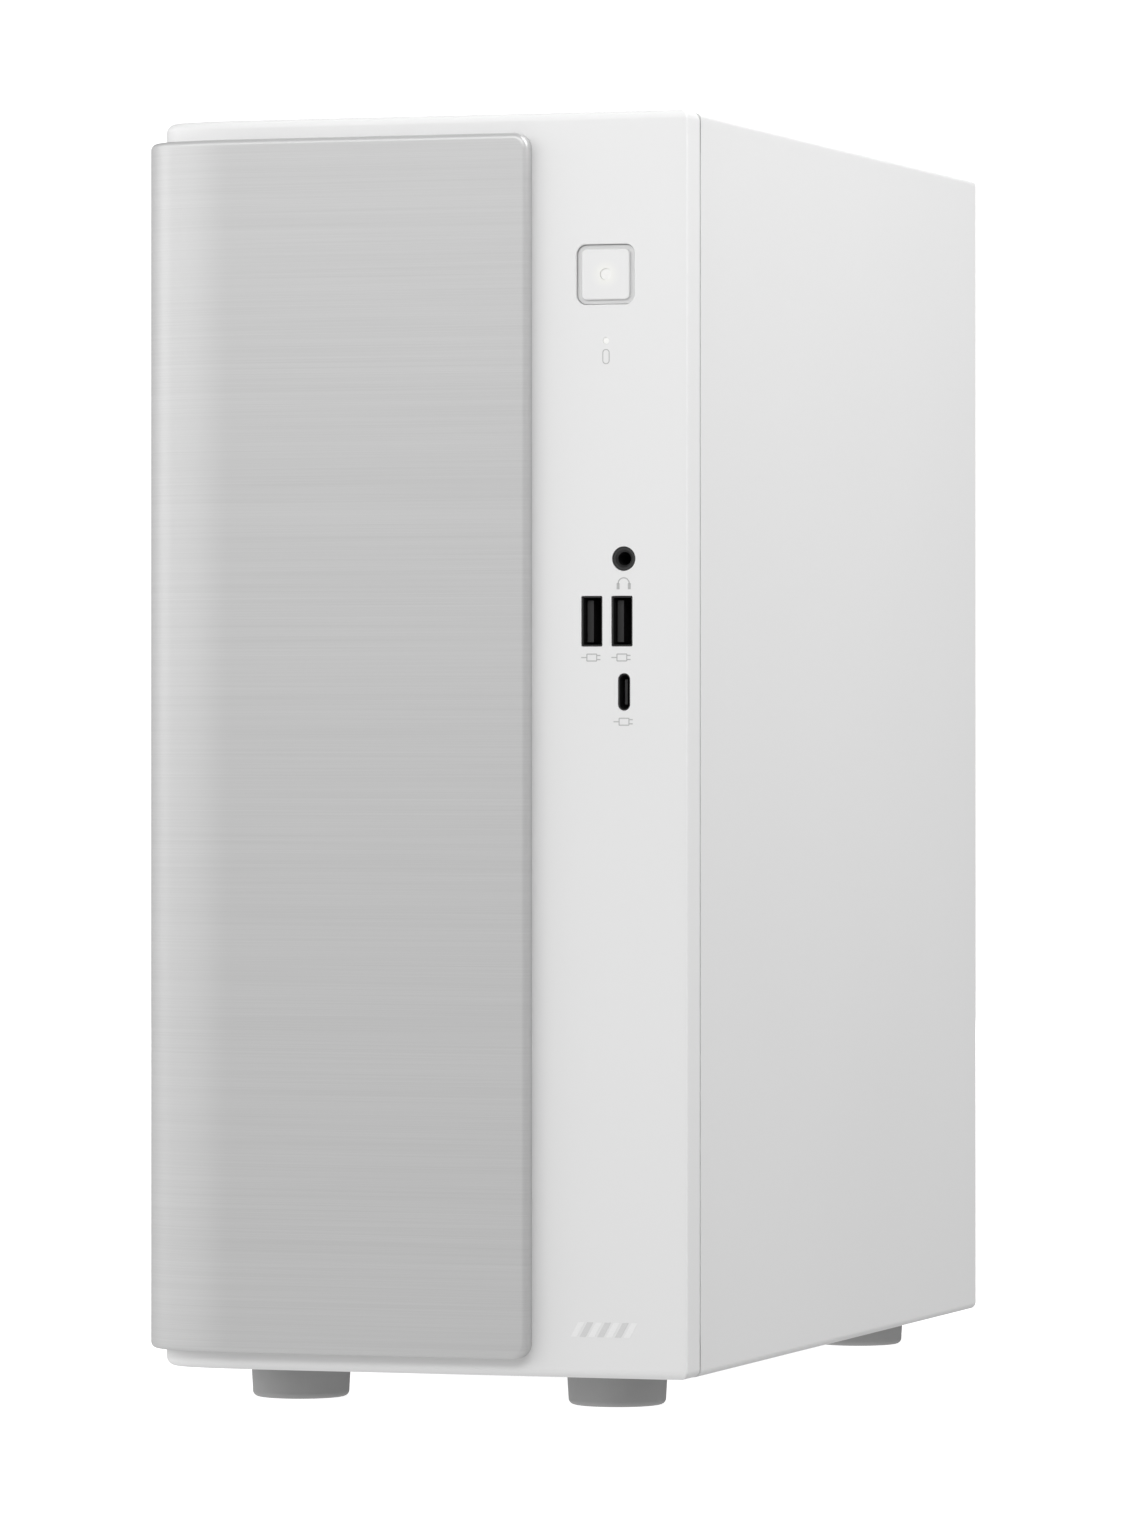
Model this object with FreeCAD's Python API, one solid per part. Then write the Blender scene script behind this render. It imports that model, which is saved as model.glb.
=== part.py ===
import FreeCAD, Part
import math
import os

# Desktop computer tower, slim mini tower of about 15 litres.
# Modelling frame, mm: X to the right, seen from the front; Y to the rear, from the bezel's front
# face; Z up, from the surface that the feet stand on. X = 0 is the middle of the case.
# The origin is moved to the middle of the overall footprint when a piece is written.

Vector = FreeCAD.Vector

# ---- Driving dimensions, mm ----
CASE_WIDTH = 151.0
CASE_DEPTH = 290.0
CASE_HEIGHT = 335.0
FOOT_HEIGHT = 9.0
SHEET = 1.0

LEFT = -CASE_WIDTH / 2
RIGHT = CASE_WIDTH / 2
BOTTOM = FOOT_HEIGHT
TOP = BOTTOM + CASE_HEIGHT
MID_HEIGHT = (BOTTOM + TOP) / 2

BEZEL_DEPTH = 11.0
BEZEL_CORNER_DEPTH = 28.0
CORNER_GENTLE_RADIUS = 45.0
CORNER_GENTLE_ANGLE = 20.0
CORNER_TIGHT_RADIUS = 12.1
BEZEL_CORNER_WIDTH = 22.5
BEZEL_WALL = 2.5
BEZEL_EDGE_RADIUS = 2.5
BEZEL_SIDE_RADIUS = 0.5
SEAM = 1.2

PLATE_PROUD = 4.2
PLATE_RIGHT = 32.4
PLATE_BOTTOM = 13.8
PLATE_TOP = 338.6
PLATE_WALL = 1.8
PLATE_CORNER_RADIUS = 4.2
PLATE_EDGE_RADIUS = 1.6
PLATE_WRAP_ANGLE = 76.5

BUTTON_CENTRE = (52.85, 300.85)
BUTTON_OPENING = (16.1, 15.9)
BUTTON_GAP = 0.15
BUTTON_FACE = (13.3, 13.4)
BUTTON_STEP = 0.9
BUTTON_CORNER_RADIUS = 2.6
BUTTON_FACE_RADIUS = 1.4
BUTTON_RIM_RADIUS = 0.35
BUTTON_TRAVEL = 1.2
DRIVE_LIGHT_CENTRE = (53.0, 283.3)
DRIVE_LIGHT_RADIUS = 0.85
HEADSET_CENTRE = (57.9, 225.7)
HEADSET_RADIUS = 3.25
USB_A_CENTRES = ((49.05, 209.2), (57.4, 209.2))
USB_A_OPENING = (5.9, 13.4)
USB_C_CENTRE = (58.0, 190.5)
USB_C_OPENING = (3.4, 9.9)

FRONT_WALL_Y = 22.0
REAR_WALL_Y = CASE_DEPTH - SHEET
FLANGE_WIDTH = 11.5
JOGGLE = 1.4
TRAY_X = 66.9
STANDOFF = 6.35
BOARD_THICKNESS = 1.6
BOARD_SIZE = 244.0
BOARD_REAR_Y = 287.0
BOARD_BOTTOM_Z = 22.0
BOARD_X = TRAY_X - STANDOFF - BOARD_THICKNESS
BOARD_HOLES_Y = (276.8, 122.0, 49.5)
BOARD_HOLES_Z = (259.7, 102.2, 28.6)

SLOT_PITCH = 20.32
SLOT_FIRST_Z = 32.0
SLOT_COUNT = 4
SLOT_COVER_WIDTH = 18.4
SLOT_TAB_X = -57.9
SLOT_TAB_LENGTH = 9.0
IO_SHIELD_X = (16.8, 61.2)
IO_SHIELD_Z = (104.0, 262.75)

CPU_Y = 214.0
CPU_Z = 200.0
CPU_FAN_RADIUS = 43.5
COOLER_PIN_OFFSET = 37.5
REAR_FAN_CENTRE = (-22.5, 190.0)
REAR_FAN_SIZE = 80.0
REAR_FAN_DEPTH = 25.0
FAN_HOLE_OFFSET = 35.75

PSU_X = (-62.5, 62.5)
PSU_Y = (188.8, 288.8)
PSU_Z = (276.5, 340.0)
PSU_FAN_Y = 236.0
AC_INLET_CENTRE = (38.0, 308.0)

DRIVE_SIZE = (101.6, 147.0, 26.1)
DRIVE_Y = 28.0
DRIVE_Z = 298.0

FOOT_RADIUS_TOP = 13.5
FOOT_RADIUS_BOTTOM = 13.0
FOOT_EDGE_RADIUS = 1.6
FOOT_X = (-43.4, 46.6)
FOOT_FRONT_Y = 30.0
FOOT_REAR_Y = 263.0

THUMBSCREW_X = -68.7
THUMBSCREW_Z = {"lower": 60.0, "upper": 300.0}
THUMBSCREW_HEAD = 7.0
RETAINER_AXIS = (295.0, 15.5)
PANEL_REAR_GAP = 0.1

# The front left corner turns in two arcs that meet tangentially, first gently, then tightly.
GENTLE_TURN = math.radians(CORNER_GENTLE_ANGLE)
CORNER_RADIUS_STEP = CORNER_GENTLE_RADIUS - CORNER_TIGHT_RADIUS
TIGHT_CENTRE = (LEFT + CORNER_TIGHT_RADIUS,
                CORNER_GENTLE_RADIUS - CORNER_RADIUS_STEP * math.cos(GENTLE_TURN))
GENTLE_CENTRE = (TIGHT_CENTRE[0] + CORNER_RADIUS_STEP * math.sin(GENTLE_TURN), CORNER_GENTLE_RADIUS)

# The overall footprint: the plate's left edge and front face, the right panel and the
# slot cover tabs' retainer at the rear.
PLATE_EDGE_PATH = CORNER_TIGHT_RADIUS + PLATE_PROUD - PLATE_EDGE_RADIUS
PLATE_EDGE_ANGLE = math.radians(PLATE_WRAP_ANGLE) - math.asin(PLATE_EDGE_RADIUS / PLATE_EDGE_PATH)
PLATE_LEFT = TIGHT_CENTRE[0] - PLATE_EDGE_PATH * math.sin(PLATE_EDGE_ANGLE) - PLATE_EDGE_RADIUS
RETAINER_REAR_Y = 299.4
ORIGIN = Vector((PLATE_LEFT + RIGHT) / 2, (RETAINER_REAR_Y - PLATE_PROUD) / 2, 0)

AXES = {"x": Vector(1, 0, 0), "y": Vector(0, 1, 0), "z": Vector(0, 0, 1)}


# ---- Helpers ----
def point(plane, u, v, w):
    """A point from two in-plane coordinates and the height w along the plane's axis."""
    if plane == "x":
        return Vector(w, u, v)
    if plane == "y":
        return Vector(u, w, v)
    return Vector(u, v, w)


def box(x0, x1, y0, y1, z0, z1):
    return Part.makeBox(x1 - x0, y1 - y0, z1 - z0, Vector(x0, y0, z0))


def rod(plane, u, v, w0, w1, radius):
    """A cylinder along the plane's axis from w0 to w1."""
    return Part.makeCylinder(radius, w1 - w0, point(plane, u, v, w0), AXES[plane])


def tube(plane, u, v, w0, w1, outer, inner):
    return rod(plane, u, v, w0, w1, outer).cut(rod(plane, u, v, w0 - 1, w1 + 1, inner))


def polygon(plane, points, w):
    corners = [point(plane, u, v, w) for u, v in points]
    return Part.makePolygon(corners + corners[:1])


def rectangle(plane, u0, u1, v0, v1, w, radius=0.0):
    """A closed rectangle, with rounded corners when a radius is given."""
    if radius <= 0:
        return polygon(plane, ((u0, v0), (u1, v0), (u1, v1), (u0, v1)), w)
    cut = radius * (1 - math.sqrt(0.5))
    stops = (
        ((u0 + radius, v0), (u1 - radius, v0), (u1 - cut, v0 + cut), (u1, v0 + radius)),
        ((u1, v0 + radius), (u1, v1 - radius), (u1 - cut, v1 - cut), (u1 - radius, v1)),
        ((u1 - radius, v1), (u0 + radius, v1), (u0 + cut, v1 - cut), (u0, v1 - radius)),
        ((u0, v1 - radius), (u0, v0 + radius), (u0 + cut, v0 + cut), (u0 + radius, v0)),
    )
    edges = []
    for start, end, middle, finish in stops:
        a, b, m, f = (point(plane, u, v, w) for u, v in (start, end, middle, finish))
        if a.distanceToPoint(b) > 1e-6:
            edges.append(Part.makeLine(a, b))
        edges.append(Part.Arc(b, m, f).toShape())
    return Part.Wire(edges)


def circle(plane, u, v, w, radius):
    return Part.Wire([Part.makeCircle(radius, point(plane, u, v, w), AXES[plane])])


def slab(plane, outline, w0, w1, holes=()):
    """A flat piece from w0 to w1: an outline, with holes through it, all drawn at w0."""
    face = Part.makeFace([outline] + list(holes), "Part::FaceMakerBullseye")
    return face.extrude(AXES[plane] * (w1 - w0))


def block(plane, u0, u1, v0, v1, w0, w1, radius=0.0, holes=()):
    return slab(plane, rectangle(plane, u0, u1, v0, v1, w0, radius), w0, w1, holes)


def fuse(shapes):
    return shapes[0].fuse(list(shapes[1:])).removeSplitter()


def round_edges(shape, radius, wanted):
    """Fillet the edges whose two ends and middle all satisfy the test."""
    chosen = []
    for edge in shape.Edges:
        middle = edge.valueAt((edge.FirstParameter + edge.LastParameter) / 2)
        spots = [vertex.Point for vertex in edge.Vertexes] + [middle]
        if all(wanted(spot) for spot in spots):
            chosen.append(edge)
    return shape.makeFillet(radius, chosen)


def near(a, b, tolerance=0.01):
    return abs(a - b) < tolerance


def slot_row(plane, u_centre, v_centre, w, length, width, pitch, count, along_u=True):
    """A row of parallel rounded ventilation slots."""
    wires = []
    for index in range(count):
        offset = (index - (count - 1) / 2) * pitch
        if along_u:
            low, high = u_centre - length / 2, u_centre + length / 2
            mid = v_centre + offset
            wires.append(rectangle(plane, low, high, mid - width / 2, mid + width / 2, w, width / 2))
        else:
            low, high = v_centre - length / 2, v_centre + length / 2
            mid = u_centre + offset
            wires.append(rectangle(plane, mid - width / 2, mid + width / 2, low, high, w, width / 2))
    return wires


def round_vent(plane, u_centre, v_centre, w, reach, hole_radius, pitch):
    """A round field of small holes in a triangular grid."""
    wires = []
    rows = int(reach / pitch) + 2
    for row in range(-rows, rows + 1):
        for column in range(-rows, rows + 1):
            u = (column + 0.5 * (row % 2)) * pitch
            v = row * pitch * math.sqrt(0.75)
            if math.hypot(u, v) <= reach:
                wires.append(circle(plane, u_centre + u, v_centre + v, w, hole_radius))
    return wires


def save(name, shapes):
    """Write one node, with its pieces as separate solids."""
    pieces = shapes if isinstance(shapes, list) else [shapes]
    solids = [solid for piece in pieces for solid in piece.Solids]
    for solid in solids:
        if not solid.isValid() or solid.Volume <= 0:
            print("problem solid in", name, solid.Volume)
    node = solids[0] if len(solids) == 1 else Part.makeCompound(solids)
    node.translate(ORIGIN * -1)
    node.exportStep("parts/%s.step" % name)
    extent = node.BoundBox
    print("%-22s %2d solids %9.0f mm3  x %.1f..%.1f y %.1f..%.1f z %.1f..%.1f" % (
        name, len(solids), node.Volume,
        extent.XMin, extent.XMax, extent.YMin, extent.YMax, extent.ZMin, extent.ZMax))


# ---- Front bezel, plate and controls ----
def corner_arc(angle):
    """Centre and radius of the corner arc that holds this angle from straight ahead."""
    if angle <= GENTLE_TURN + 1e-9:
        return GENTLE_CENTRE, CORNER_GENTLE_RADIUS
    return TIGHT_CENTRE, CORNER_TIGHT_RADIUS


def corner_point(offset, angle, z):
    """A point on the left corner's outline, moved outward by offset."""
    (x, y), radius = corner_arc(angle)
    reach = radius + offset
    return Vector(x - reach * math.sin(angle), y - reach * math.cos(angle), z)


def corner_edges(offset, end, z):
    """The corner's two arcs, from the flat front round to the angle end."""
    edges = []
    for start, finish in ((0.0, GENTLE_TURN), (GENTLE_TURN, end)):
        spots = [corner_point(offset, angle, z) for angle in (start, (start + finish) / 2, finish)]
        edges.append(Part.Arc(*spots).toShape())
    return edges


def corner_offset(spot):
    """How far a point stands outside the bezel's flat front and left corner."""
    if spot.x >= GENTLE_CENTRE[0]:
        return -spot.y
    angle = math.atan2(GENTLE_CENTRE[0] - spot.x, GENTLE_CENTRE[1] - spot.y)
    (x, y), radius = corner_arc(angle)
    return math.hypot(spot.x - x, spot.y - y) - radius


def bezel_plan(inset, rear_right, rear_left, step_x, z):
    """The bezel's outline seen from above, moved inward by inset."""
    front = inset
    side = corner_point(-inset, math.pi / 2, z)
    corners = [
        side,
        Vector(side.x, rear_left, z),
        Vector(step_x, rear_left, z),
        Vector(step_x, rear_right, z),
        Vector(RIGHT - inset, rear_right, z),
        Vector(RIGHT - inset, front, z),
        Vector(GENTLE_CENTRE[0], front, z),
    ]
    if near(rear_left, rear_right):
        del corners[2:4]
    edges = corner_edges(-inset, math.pi / 2, z)
    edges += [Part.makeLine(a, b) for a, b in zip(corners, corners[1:])]
    return Part.Wire(edges)


def bezel_openings():
    """The holes in the bezel's right-hand strip, as solids to cut away."""
    reach = (-1.0, BEZEL_WALL + 1.0)
    u, v = BUTTON_CENTRE
    width, height = BUTTON_OPENING
    holes = [block("y", u - width / 2, u + width / 2, v - height / 2, v + height / 2,
                   reach[0], reach[1], BUTTON_CORNER_RADIUS)]
    holes.append(rod("y", *DRIVE_LIGHT_CENTRE, reach[0], reach[1], DRIVE_LIGHT_RADIUS))
    holes.append(rod("y", *HEADSET_CENTRE, reach[0], reach[1], HEADSET_RADIUS))
    for u, v in USB_A_CENTRES:
        width, height = USB_A_OPENING
        holes.append(block("y", u - width / 2, u + width / 2, v - height / 2, v + height / 2,
                           reach[0], reach[1], 0.4))
    u, v = USB_C_CENTRE
    width, height = USB_C_OPENING
    holes.append(block("y", u - width / 2, u + width / 2, v - height / 2, v + height / 2,
                       reach[0], reach[1], width / 2 - 0.05))
    return holes


def bezel_clip_places():
    """Where the bezel's snap clips pass through the chassis front wall."""
    return [(x, z) for x in (-62.0, 62.0) for z in (50.0, 130.0, 322.0)]


def front_bezel():
    step_x = LEFT + BEZEL_CORNER_WIDTH
    plan = bezel_plan(0.0, BEZEL_DEPTH, BEZEL_CORNER_DEPTH, step_x, BOTTOM)
    body = Part.Face(plan).extrude(Vector(0, 0, CASE_HEIGHT))

    def end_rim(spot):
        on_end = near(spot.z, BOTTOM) or near(spot.z, TOP)
        return on_end and not near(spot.y, BEZEL_DEPTH) and not near(spot.y, BEZEL_CORNER_DEPTH)

    def outer_end_edge(edge):
        middle = edge.valueAt((edge.FirstParameter + edge.LastParameter) / 2)
        return end_rim(middle) and not near(middle.x, step_x)

    rim = [edge for edge in body.Edges if outer_end_edge(edge)]
    body = body.makeFillet(BEZEL_EDGE_RADIUS, rim)
    body = round_edges(body, BEZEL_SIDE_RADIUS, lambda p: near(p.x, RIGHT) and near(p.y, 0)
                       and BOTTOM + 1 < p.z < TOP - 1)
    hollow_plan = bezel_plan(BEZEL_WALL, BEZEL_CORNER_DEPTH + 5, BEZEL_CORNER_DEPTH + 5,
                             step_x, BOTTOM + BEZEL_WALL)
    hollow = Part.Face(hollow_plan).extrude(Vector(0, 0, CASE_HEIGHT - 2 * BEZEL_WALL))
    body = body.cut([hollow] + bezel_openings())
    u, v = BUTTON_CENTRE
    body = round_edges(body, BUTTON_RIM_RADIUS, lambda p: near(p.y, 0)
                       and abs(p.x - u) < BUTTON_OPENING[0] / 2 + 0.1
                       and abs(p.z - v) < BUTTON_OPENING[1] / 2 + 0.1)

    # Lips behind the seams, which the panels close over, and the snap clips.
    lip = SHEET + 0.2
    low, high = BOTTOM + lip, TOP - lip
    lips = [
        box(RIGHT - lip - 2, RIGHT - lip, 8, 15, 20, TOP - 11),
        box(LEFT + lip, LEFT + lip + 2, 26, 32, 20, TOP - 11),
        box(step_x + 2, 57, 8, 15, high - 2, high),
        box(step_x + 2, 57, 8, 15, low, low + 2),
    ]
    clips = []
    for x, z in bezel_clip_places():
        clips.append(box(x - 1, x + 1, 2, 26, z - 5, z + 5))
        clips.append(box(x - 2.4 if x < 0 else x, x if x < 0 else x + 2.4, 23.3, 26, z - 5, z + 5))
    return fuse([body] + lips + clips)


def plate_solid(inset):
    """The front plate's volume: flat, then following the left corner of the bezel."""
    end = math.radians(PLATE_WRAP_ANGLE) - inset / (CORNER_TIGHT_RADIUS + PLATE_PROUD - inset)
    proud = PLATE_PROUD - inset
    right = PLATE_RIGHT - inset
    z = PLATE_BOTTOM + inset
    edges = [
        Part.makeLine(Vector(right, 0, z), Vector(right, -proud, z)),
        Part.makeLine(Vector(right, -proud, z), corner_point(proud, 0, z)),
        Part.makeLine(corner_point(proud, end, z), corner_point(0, end, z)),
        Part.makeLine(corner_point(0, 0, z), Vector(right, 0, z)),
    ]
    edges[2:2] = corner_edges(proud, end, z)
    edges[5:5] = corner_edges(0, end, z)[::-1]
    height = PLATE_TOP - PLATE_BOTTOM - 2 * inset
    return Part.Face(Part.Wire(edges)).extrude(Vector(0, 0, height))


def front_plate():
    body = plate_solid(0.0)
    end = corner_point(PLATE_PROUD / 2, math.radians(PLATE_WRAP_ANGLE), 0)

    def corner(spot):
        at_end = near(spot.z, PLATE_BOTTOM) or near(spot.z, PLATE_TOP)
        return at_end and (near(spot.x, PLATE_RIGHT) or near(spot.x, end.x) and near(spot.y, end.y))

    body = round_edges(body, PLATE_CORNER_RADIUS, corner)

    def on_face(spot):
        return near(corner_offset(spot), PLATE_PROUD)

    seams = [corner_point(PLATE_PROUD, angle, 0) for angle in (0.0, GENTLE_TURN)]
    rim = []
    for edge in body.Edges:
        middle = edge.valueAt((edge.FirstParameter + edge.LastParameter) / 2)
        ends = [vertex.Point for vertex in edge.Vertexes]
        on_seam = any(near(middle.x, seam.x) and near(middle.y, seam.y) for seam in seams)
        if on_face(middle) and all(on_face(spot) for spot in ends) and not on_seam:
            rim.append(edge)
    body = body.makeFillet(PLATE_EDGE_RADIUS, rim)
    hollow = plate_solid(PLATE_WALL)
    ribs = [box(PLATE_LEFT, PLATE_RIGHT, -PLATE_PROUD, 0, z - 0.6, z + 0.6)
            for z in (80.0, 145.0, 210.0, 275.0)]
    ribs = [plate_solid(PLATE_WALL - 0.3).common(rib) for rib in ribs]
    return fuse([body.cut(hollow)] + ribs)


def power_button():
    """Square cap with a collar just below its face, so a light shallow groove runs round it."""
    u, v = BUTTON_CENTRE
    half_width = BUTTON_OPENING[0] / 2 - BUTTON_GAP
    half_height = BUTTON_OPENING[1] / 2 - BUTTON_GAP
    face_width, face_height = BUTTON_FACE[0] / 2, BUTTON_FACE[1] / 2
    cap = block("y", u - face_width, u + face_width, v - face_height, v + face_height,
                0.1, 2.0, BUTTON_FACE_RADIUS)
    cap = round_edges(cap, 0.45, lambda p: near(p.y, 0.1))
    collar = block("y", u - half_width, u + half_width, v - half_height, v + half_height,
                   BUTTON_STEP, 3.4, BUTTON_CORNER_RADIUS - BUTTON_GAP)
    flange = block("y", u - half_width - 2, u + half_width + 2, v - half_height - 2,
                   v + half_height + 2, 3.2, 4.4, 3.0)
    stem = tube("y", u, v, 4.0, 10.0, 3.2, 1.55)
    bore = rod("y", u, v, -1.0, 6.0, 1.55)
    return fuse([cap, collar, flange, stem]).cut(bore)


def power_button_lens():
    """The light guide in the middle of the power button."""
    u, v = BUTTON_CENTRE
    return rod("y", u, v, 0.35, 9.5, 1.5)


def power_switch():
    """Push switch with its light, on its own small board behind the button."""
    u, v = BUTTON_CENTRE
    board = box(u - 13, u + 13, 16.0, 17.6, v - 13, v + 13)
    housing = box(u - 3.5, u + 3.5, 12.6, 16.0, v - 3.5, v + 3.5)
    light = rod("y", u, v, 11.6, 12.6, 1.4)
    posts = [rod("y", u + dx, v + dz, 17.6, FRONT_WALL_Y, 2.5) for dx in (-9, 9) for dz in (-9, 9)]
    return fuse([board, housing, light] + posts)


def drive_light_guide():
    u, v = DRIVE_LIGHT_CENTRE
    return fuse([rod("y", u, v, 0.1, 15.5, DRIVE_LIGHT_RADIUS - 0.05), rod("y", u, v, 2.6, 3.6, 1.8)])


def front_io_board():
    """Upright circuit board that carries the front sockets, on posts from the chassis."""
    board = box(42, 66, 15.5, 17.1, 180, 234)
    posts = [rod("y", x, z, 17.1, FRONT_WALL_Y, 2.2) for x in (45, 63) for z in (183.0, 231.0)]
    return fuse([board] + posts)


def headset_jack():
    u, v = HEADSET_CENTRE
    collar = rod("y", u, v, 0.3, 3.0, HEADSET_RADIUS - 0.1)
    housing = box(u - 4, u + 4, 2.6, 15.5, v - 4, v + 4)
    bore = rod("y", u, v, -1, 14.5, 1.8)
    mouth = Part.makeCone(2.4, 1.8, 0.6, Vector(u, 0.3, v), AXES["y"])
    return fuse([collar, housing]).cut([bore, mouth])


def usb_a_port(centre):
    """Upright receptacle: metal shell round a contact tongue."""
    u, v = centre
    half_width = USB_A_OPENING[0] / 2 - 0.1
    half_height = USB_A_OPENING[1] / 2 - 0.1
    shell = block("y", u - half_width, u + half_width, v - half_height, v + half_height, 0.5, 15.5, 0.3)
    hollow = block("y", u - half_width + 0.35, u + half_width - 0.35, v - half_height + 0.35,
                   v + half_height - 0.35, 0.0, 13.5)
    tongue = box(u - half_width + 0.9, u - half_width + 2.6, 2.5, 14.0, v - 5.5, v + 5.5)
    return fuse([shell.cut(hollow), tongue])


def usb_c_port():
    u, v = USB_C_CENTRE
    half_width = USB_C_OPENING[0] / 2 - 0.08
    half_height = USB_C_OPENING[1] / 2 - 0.08
    shell = block("y", u - half_width, u + half_width, v - half_height, v + half_height,
                  0.4, 15.5, half_width - 0.05)
    hollow = block("y", u - half_width + 0.3, u + half_width - 0.3, v - half_height + 0.3,
                   v + half_height - 0.3, 0.0, 9.0, half_width - 0.4)
    tongue = box(u - 0.35, u + 0.35, 2.0, 10.0, v - 3.3, v + 3.3)
    return fuse([shell.cut(hollow), tongue])


# ---- Sheet metal ----
def hat_section(upward):
    """The top or floor sheet: raised in the middle, stepped down under the side panels' flanges."""
    left_step = LEFT + FLANGE_WIDTH + 0.5
    right_step = RIGHT - FLANGE_WIDTH - 4.5
    inner_left = LEFT + 2.5
    inner_right = RIGHT - 2.0
    profile = (
        (inner_left, -JOGGLE - SHEET), (inner_left, -JOGGLE), (left_step, -JOGGLE), (left_step, 0),
        (right_step, 0), (right_step, -JOGGLE), (inner_right, -JOGGLE),
        (inner_right, -JOGGLE - SHEET), (right_step - SHEET, -JOGGLE - SHEET),
        (right_step - SHEET, -SHEET), (left_step + SHEET, -SHEET), (left_step + SHEET, -JOGGLE - SHEET),
    )
    points = [(x, TOP + dz) if upward else (x, BOTTOM - dz) for x, dz in profile]
    front = BEZEL_DEPTH + SEAM
    sheet = slab("y", polygon("y", points, front), front, CASE_DEPTH)
    low, high = (TOP - 4, TOP + 1) if upward else (BOTTOM - 1, BOTTOM + 4)
    flange_low = TOP - 4 if upward else BOTTOM + 1.05
    flange_high = TOP - 1.05 if upward else BOTTOM + 4
    corner_x = LEFT + BEZEL_CORNER_WIDTH + 1.0
    cuts = [
        box(LEFT - 1, corner_x, 0, BEZEL_CORNER_DEPTH + SEAM, low, high),
        box(LEFT - 1, left_step + SHEET, 0, 33.5, flange_low, flange_high),
        box(right_step - SHEET, RIGHT + 1, 0, 17.0, flange_low, flange_high),
        box(LEFT - 1, RIGHT + 1, REAR_WALL_Y - 0.2, CASE_DEPTH + 1, flange_low, flange_high),
    ]
    return sheet.cut(cuts)


def chassis_top():
    return hat_section(True)


def foot_places():
    return {
        "front_left": (FOOT_X[0], FOOT_FRONT_Y),
        "front_right": (FOOT_X[1], FOOT_FRONT_Y),
        "rear_left": (FOOT_X[0], FOOT_REAR_Y),
        "rear_right": (FOOT_X[1], FOOT_REAR_Y),
    }


def chassis_floor():
    sheet = hat_section(False)
    w = BOTTOM - 1
    vents = slot_row("z", 0, 110, w, 60, 4, 9, 6) + slot_row("z", 0, 190, w, 60, 4, 9, 6)
    tools = [slab("z", wire, w, w + 3) for wire in vents]
    tools += [rod("z", x, y, w, w + 3, 1.9) for x, y in foot_places().values()]
    return sheet.cut(tools)


def chassis_front():
    y = FRONT_WALL_Y
    holes = slot_row("y", -18, 100, y, 70, 5, 10, 12)
    holes += slot_row("y", -18, 232, y, 70, 5, 10, 8)
    holes.append(rectangle("y", 44, 60, 192, 216, y, 3))
    holes.append(rectangle("y", 36, 66, 246, 278, y, 3))
    for x, z in bezel_clip_places():
        edge = (-2.8, 1.4) if x < 0 else (-1.4, 2.8)
        holes.append(rectangle("y", x + edge[0], x + edge[1], z - 5.4, z + 5.4, y))
    outline = rectangle("y", -72.2, 72.2, BOTTOM + 2.6, TOP - 2.6, y)
    sheet = slab("y", outline, y, y + SHEET, holes)
    flanges = [
        box(-60, 57, y, y + 12, BOTTOM + 2.6, BOTTOM + 3.6),
        box(-60, 57, y, y + 12, TOP - 3.6, TOP - 2.6),
        box(-72.2, -71.2, y, y + 11, BOTTOM + 4, TOP - 4),
    ]
    return fuse([sheet] + flanges)


def slot_centres():
    return [SLOT_FIRST_Z + SLOT_PITCH * index for index in range(SLOT_COUNT)]


def rear_fan_holes():
    u, v = REAR_FAN_CENTRE
    return [(u + dx, v + dz) for dx in (-FAN_HOLE_OFFSET, FAN_HOLE_OFFSET)
            for dz in (-FAN_HOLE_OFFSET, FAN_HOLE_OFFSET)]


def psu_screw_places():
    return [(-58.5, 336.0), (58.5, 336.0), (-58.5, 280.5), (58.5, 280.5)]


def chassis_rear():
    y = REAR_WALL_Y
    holes = [
        rectangle("y", *IO_SHIELD_X, *IO_SHIELD_Z, y, 1.0),
        rectangle("y", -54, 54, 281, 336, y, 2.0),
        rectangle("y", -46, -39, 132, 135, y, 0.5),
        rectangle("y", SLOT_TAB_X - 0.3, SLOT_TAB_X + 1.3, SLOT_FIRST_Z - 10.5,
                  SLOT_FIRST_Z + 3 * SLOT_PITCH + 10.5, y),
    ]
    holes += [rectangle("y", -53.5, 58, z - 6.5, z + 6.5, y, 1.0) for z in slot_centres()]
    holes += round_vent("y", *REAR_FAN_CENTRE, y, 35.0, 2.1, 5.4)
    holes += [circle("y", u, v, y, 1.7) for u, v in rear_fan_holes() + psu_screw_places()]
    holes += [circle("y", THUMBSCREW_X, z, y, 2.0) for z in THUMBSCREW_Z.values()]
    outline = rectangle("y", LEFT + 1.3, RIGHT - 1.2, BOTTOM + 1.2, TOP - 1.2, y, 1.5)
    sheet = slab("y", outline, y, CASE_DEPTH, holes)
    shelf_z = (SLOT_FIRST_Z - 11, SLOT_FIRST_Z + 3 * SLOT_PITCH + 11)
    shelf = box(SLOT_TAB_X + 1.3, SLOT_TAB_X + 2.3, y + 0.5, y + SLOT_TAB_LENGTH, *shelf_z)
    flange = box(LEFT + 1.3, LEFT + 2.3, y - 12, y + 0.5, BOTTOM + 4, TOP - 4)
    return fuse([sheet, shelf, flange])


def retainer_hinge():
    """Lug, pin and pin head on which the slot retainer turns."""
    y, z = RETAINER_AXIS
    lug = block("x", CASE_DEPTH, y + 4, z - 4, z + 4, SLOT_TAB_X - 0.2, SLOT_TAB_X + 2.3, 0)
    pin = rod("x", y, z, SLOT_TAB_X - 3.4, SLOT_TAB_X, 1.5)
    head = rod("x", y, z, SLOT_TAB_X - 3.6, SLOT_TAB_X - 2.9, 2.6)
    return fuse([lug, pin, head])


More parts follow.
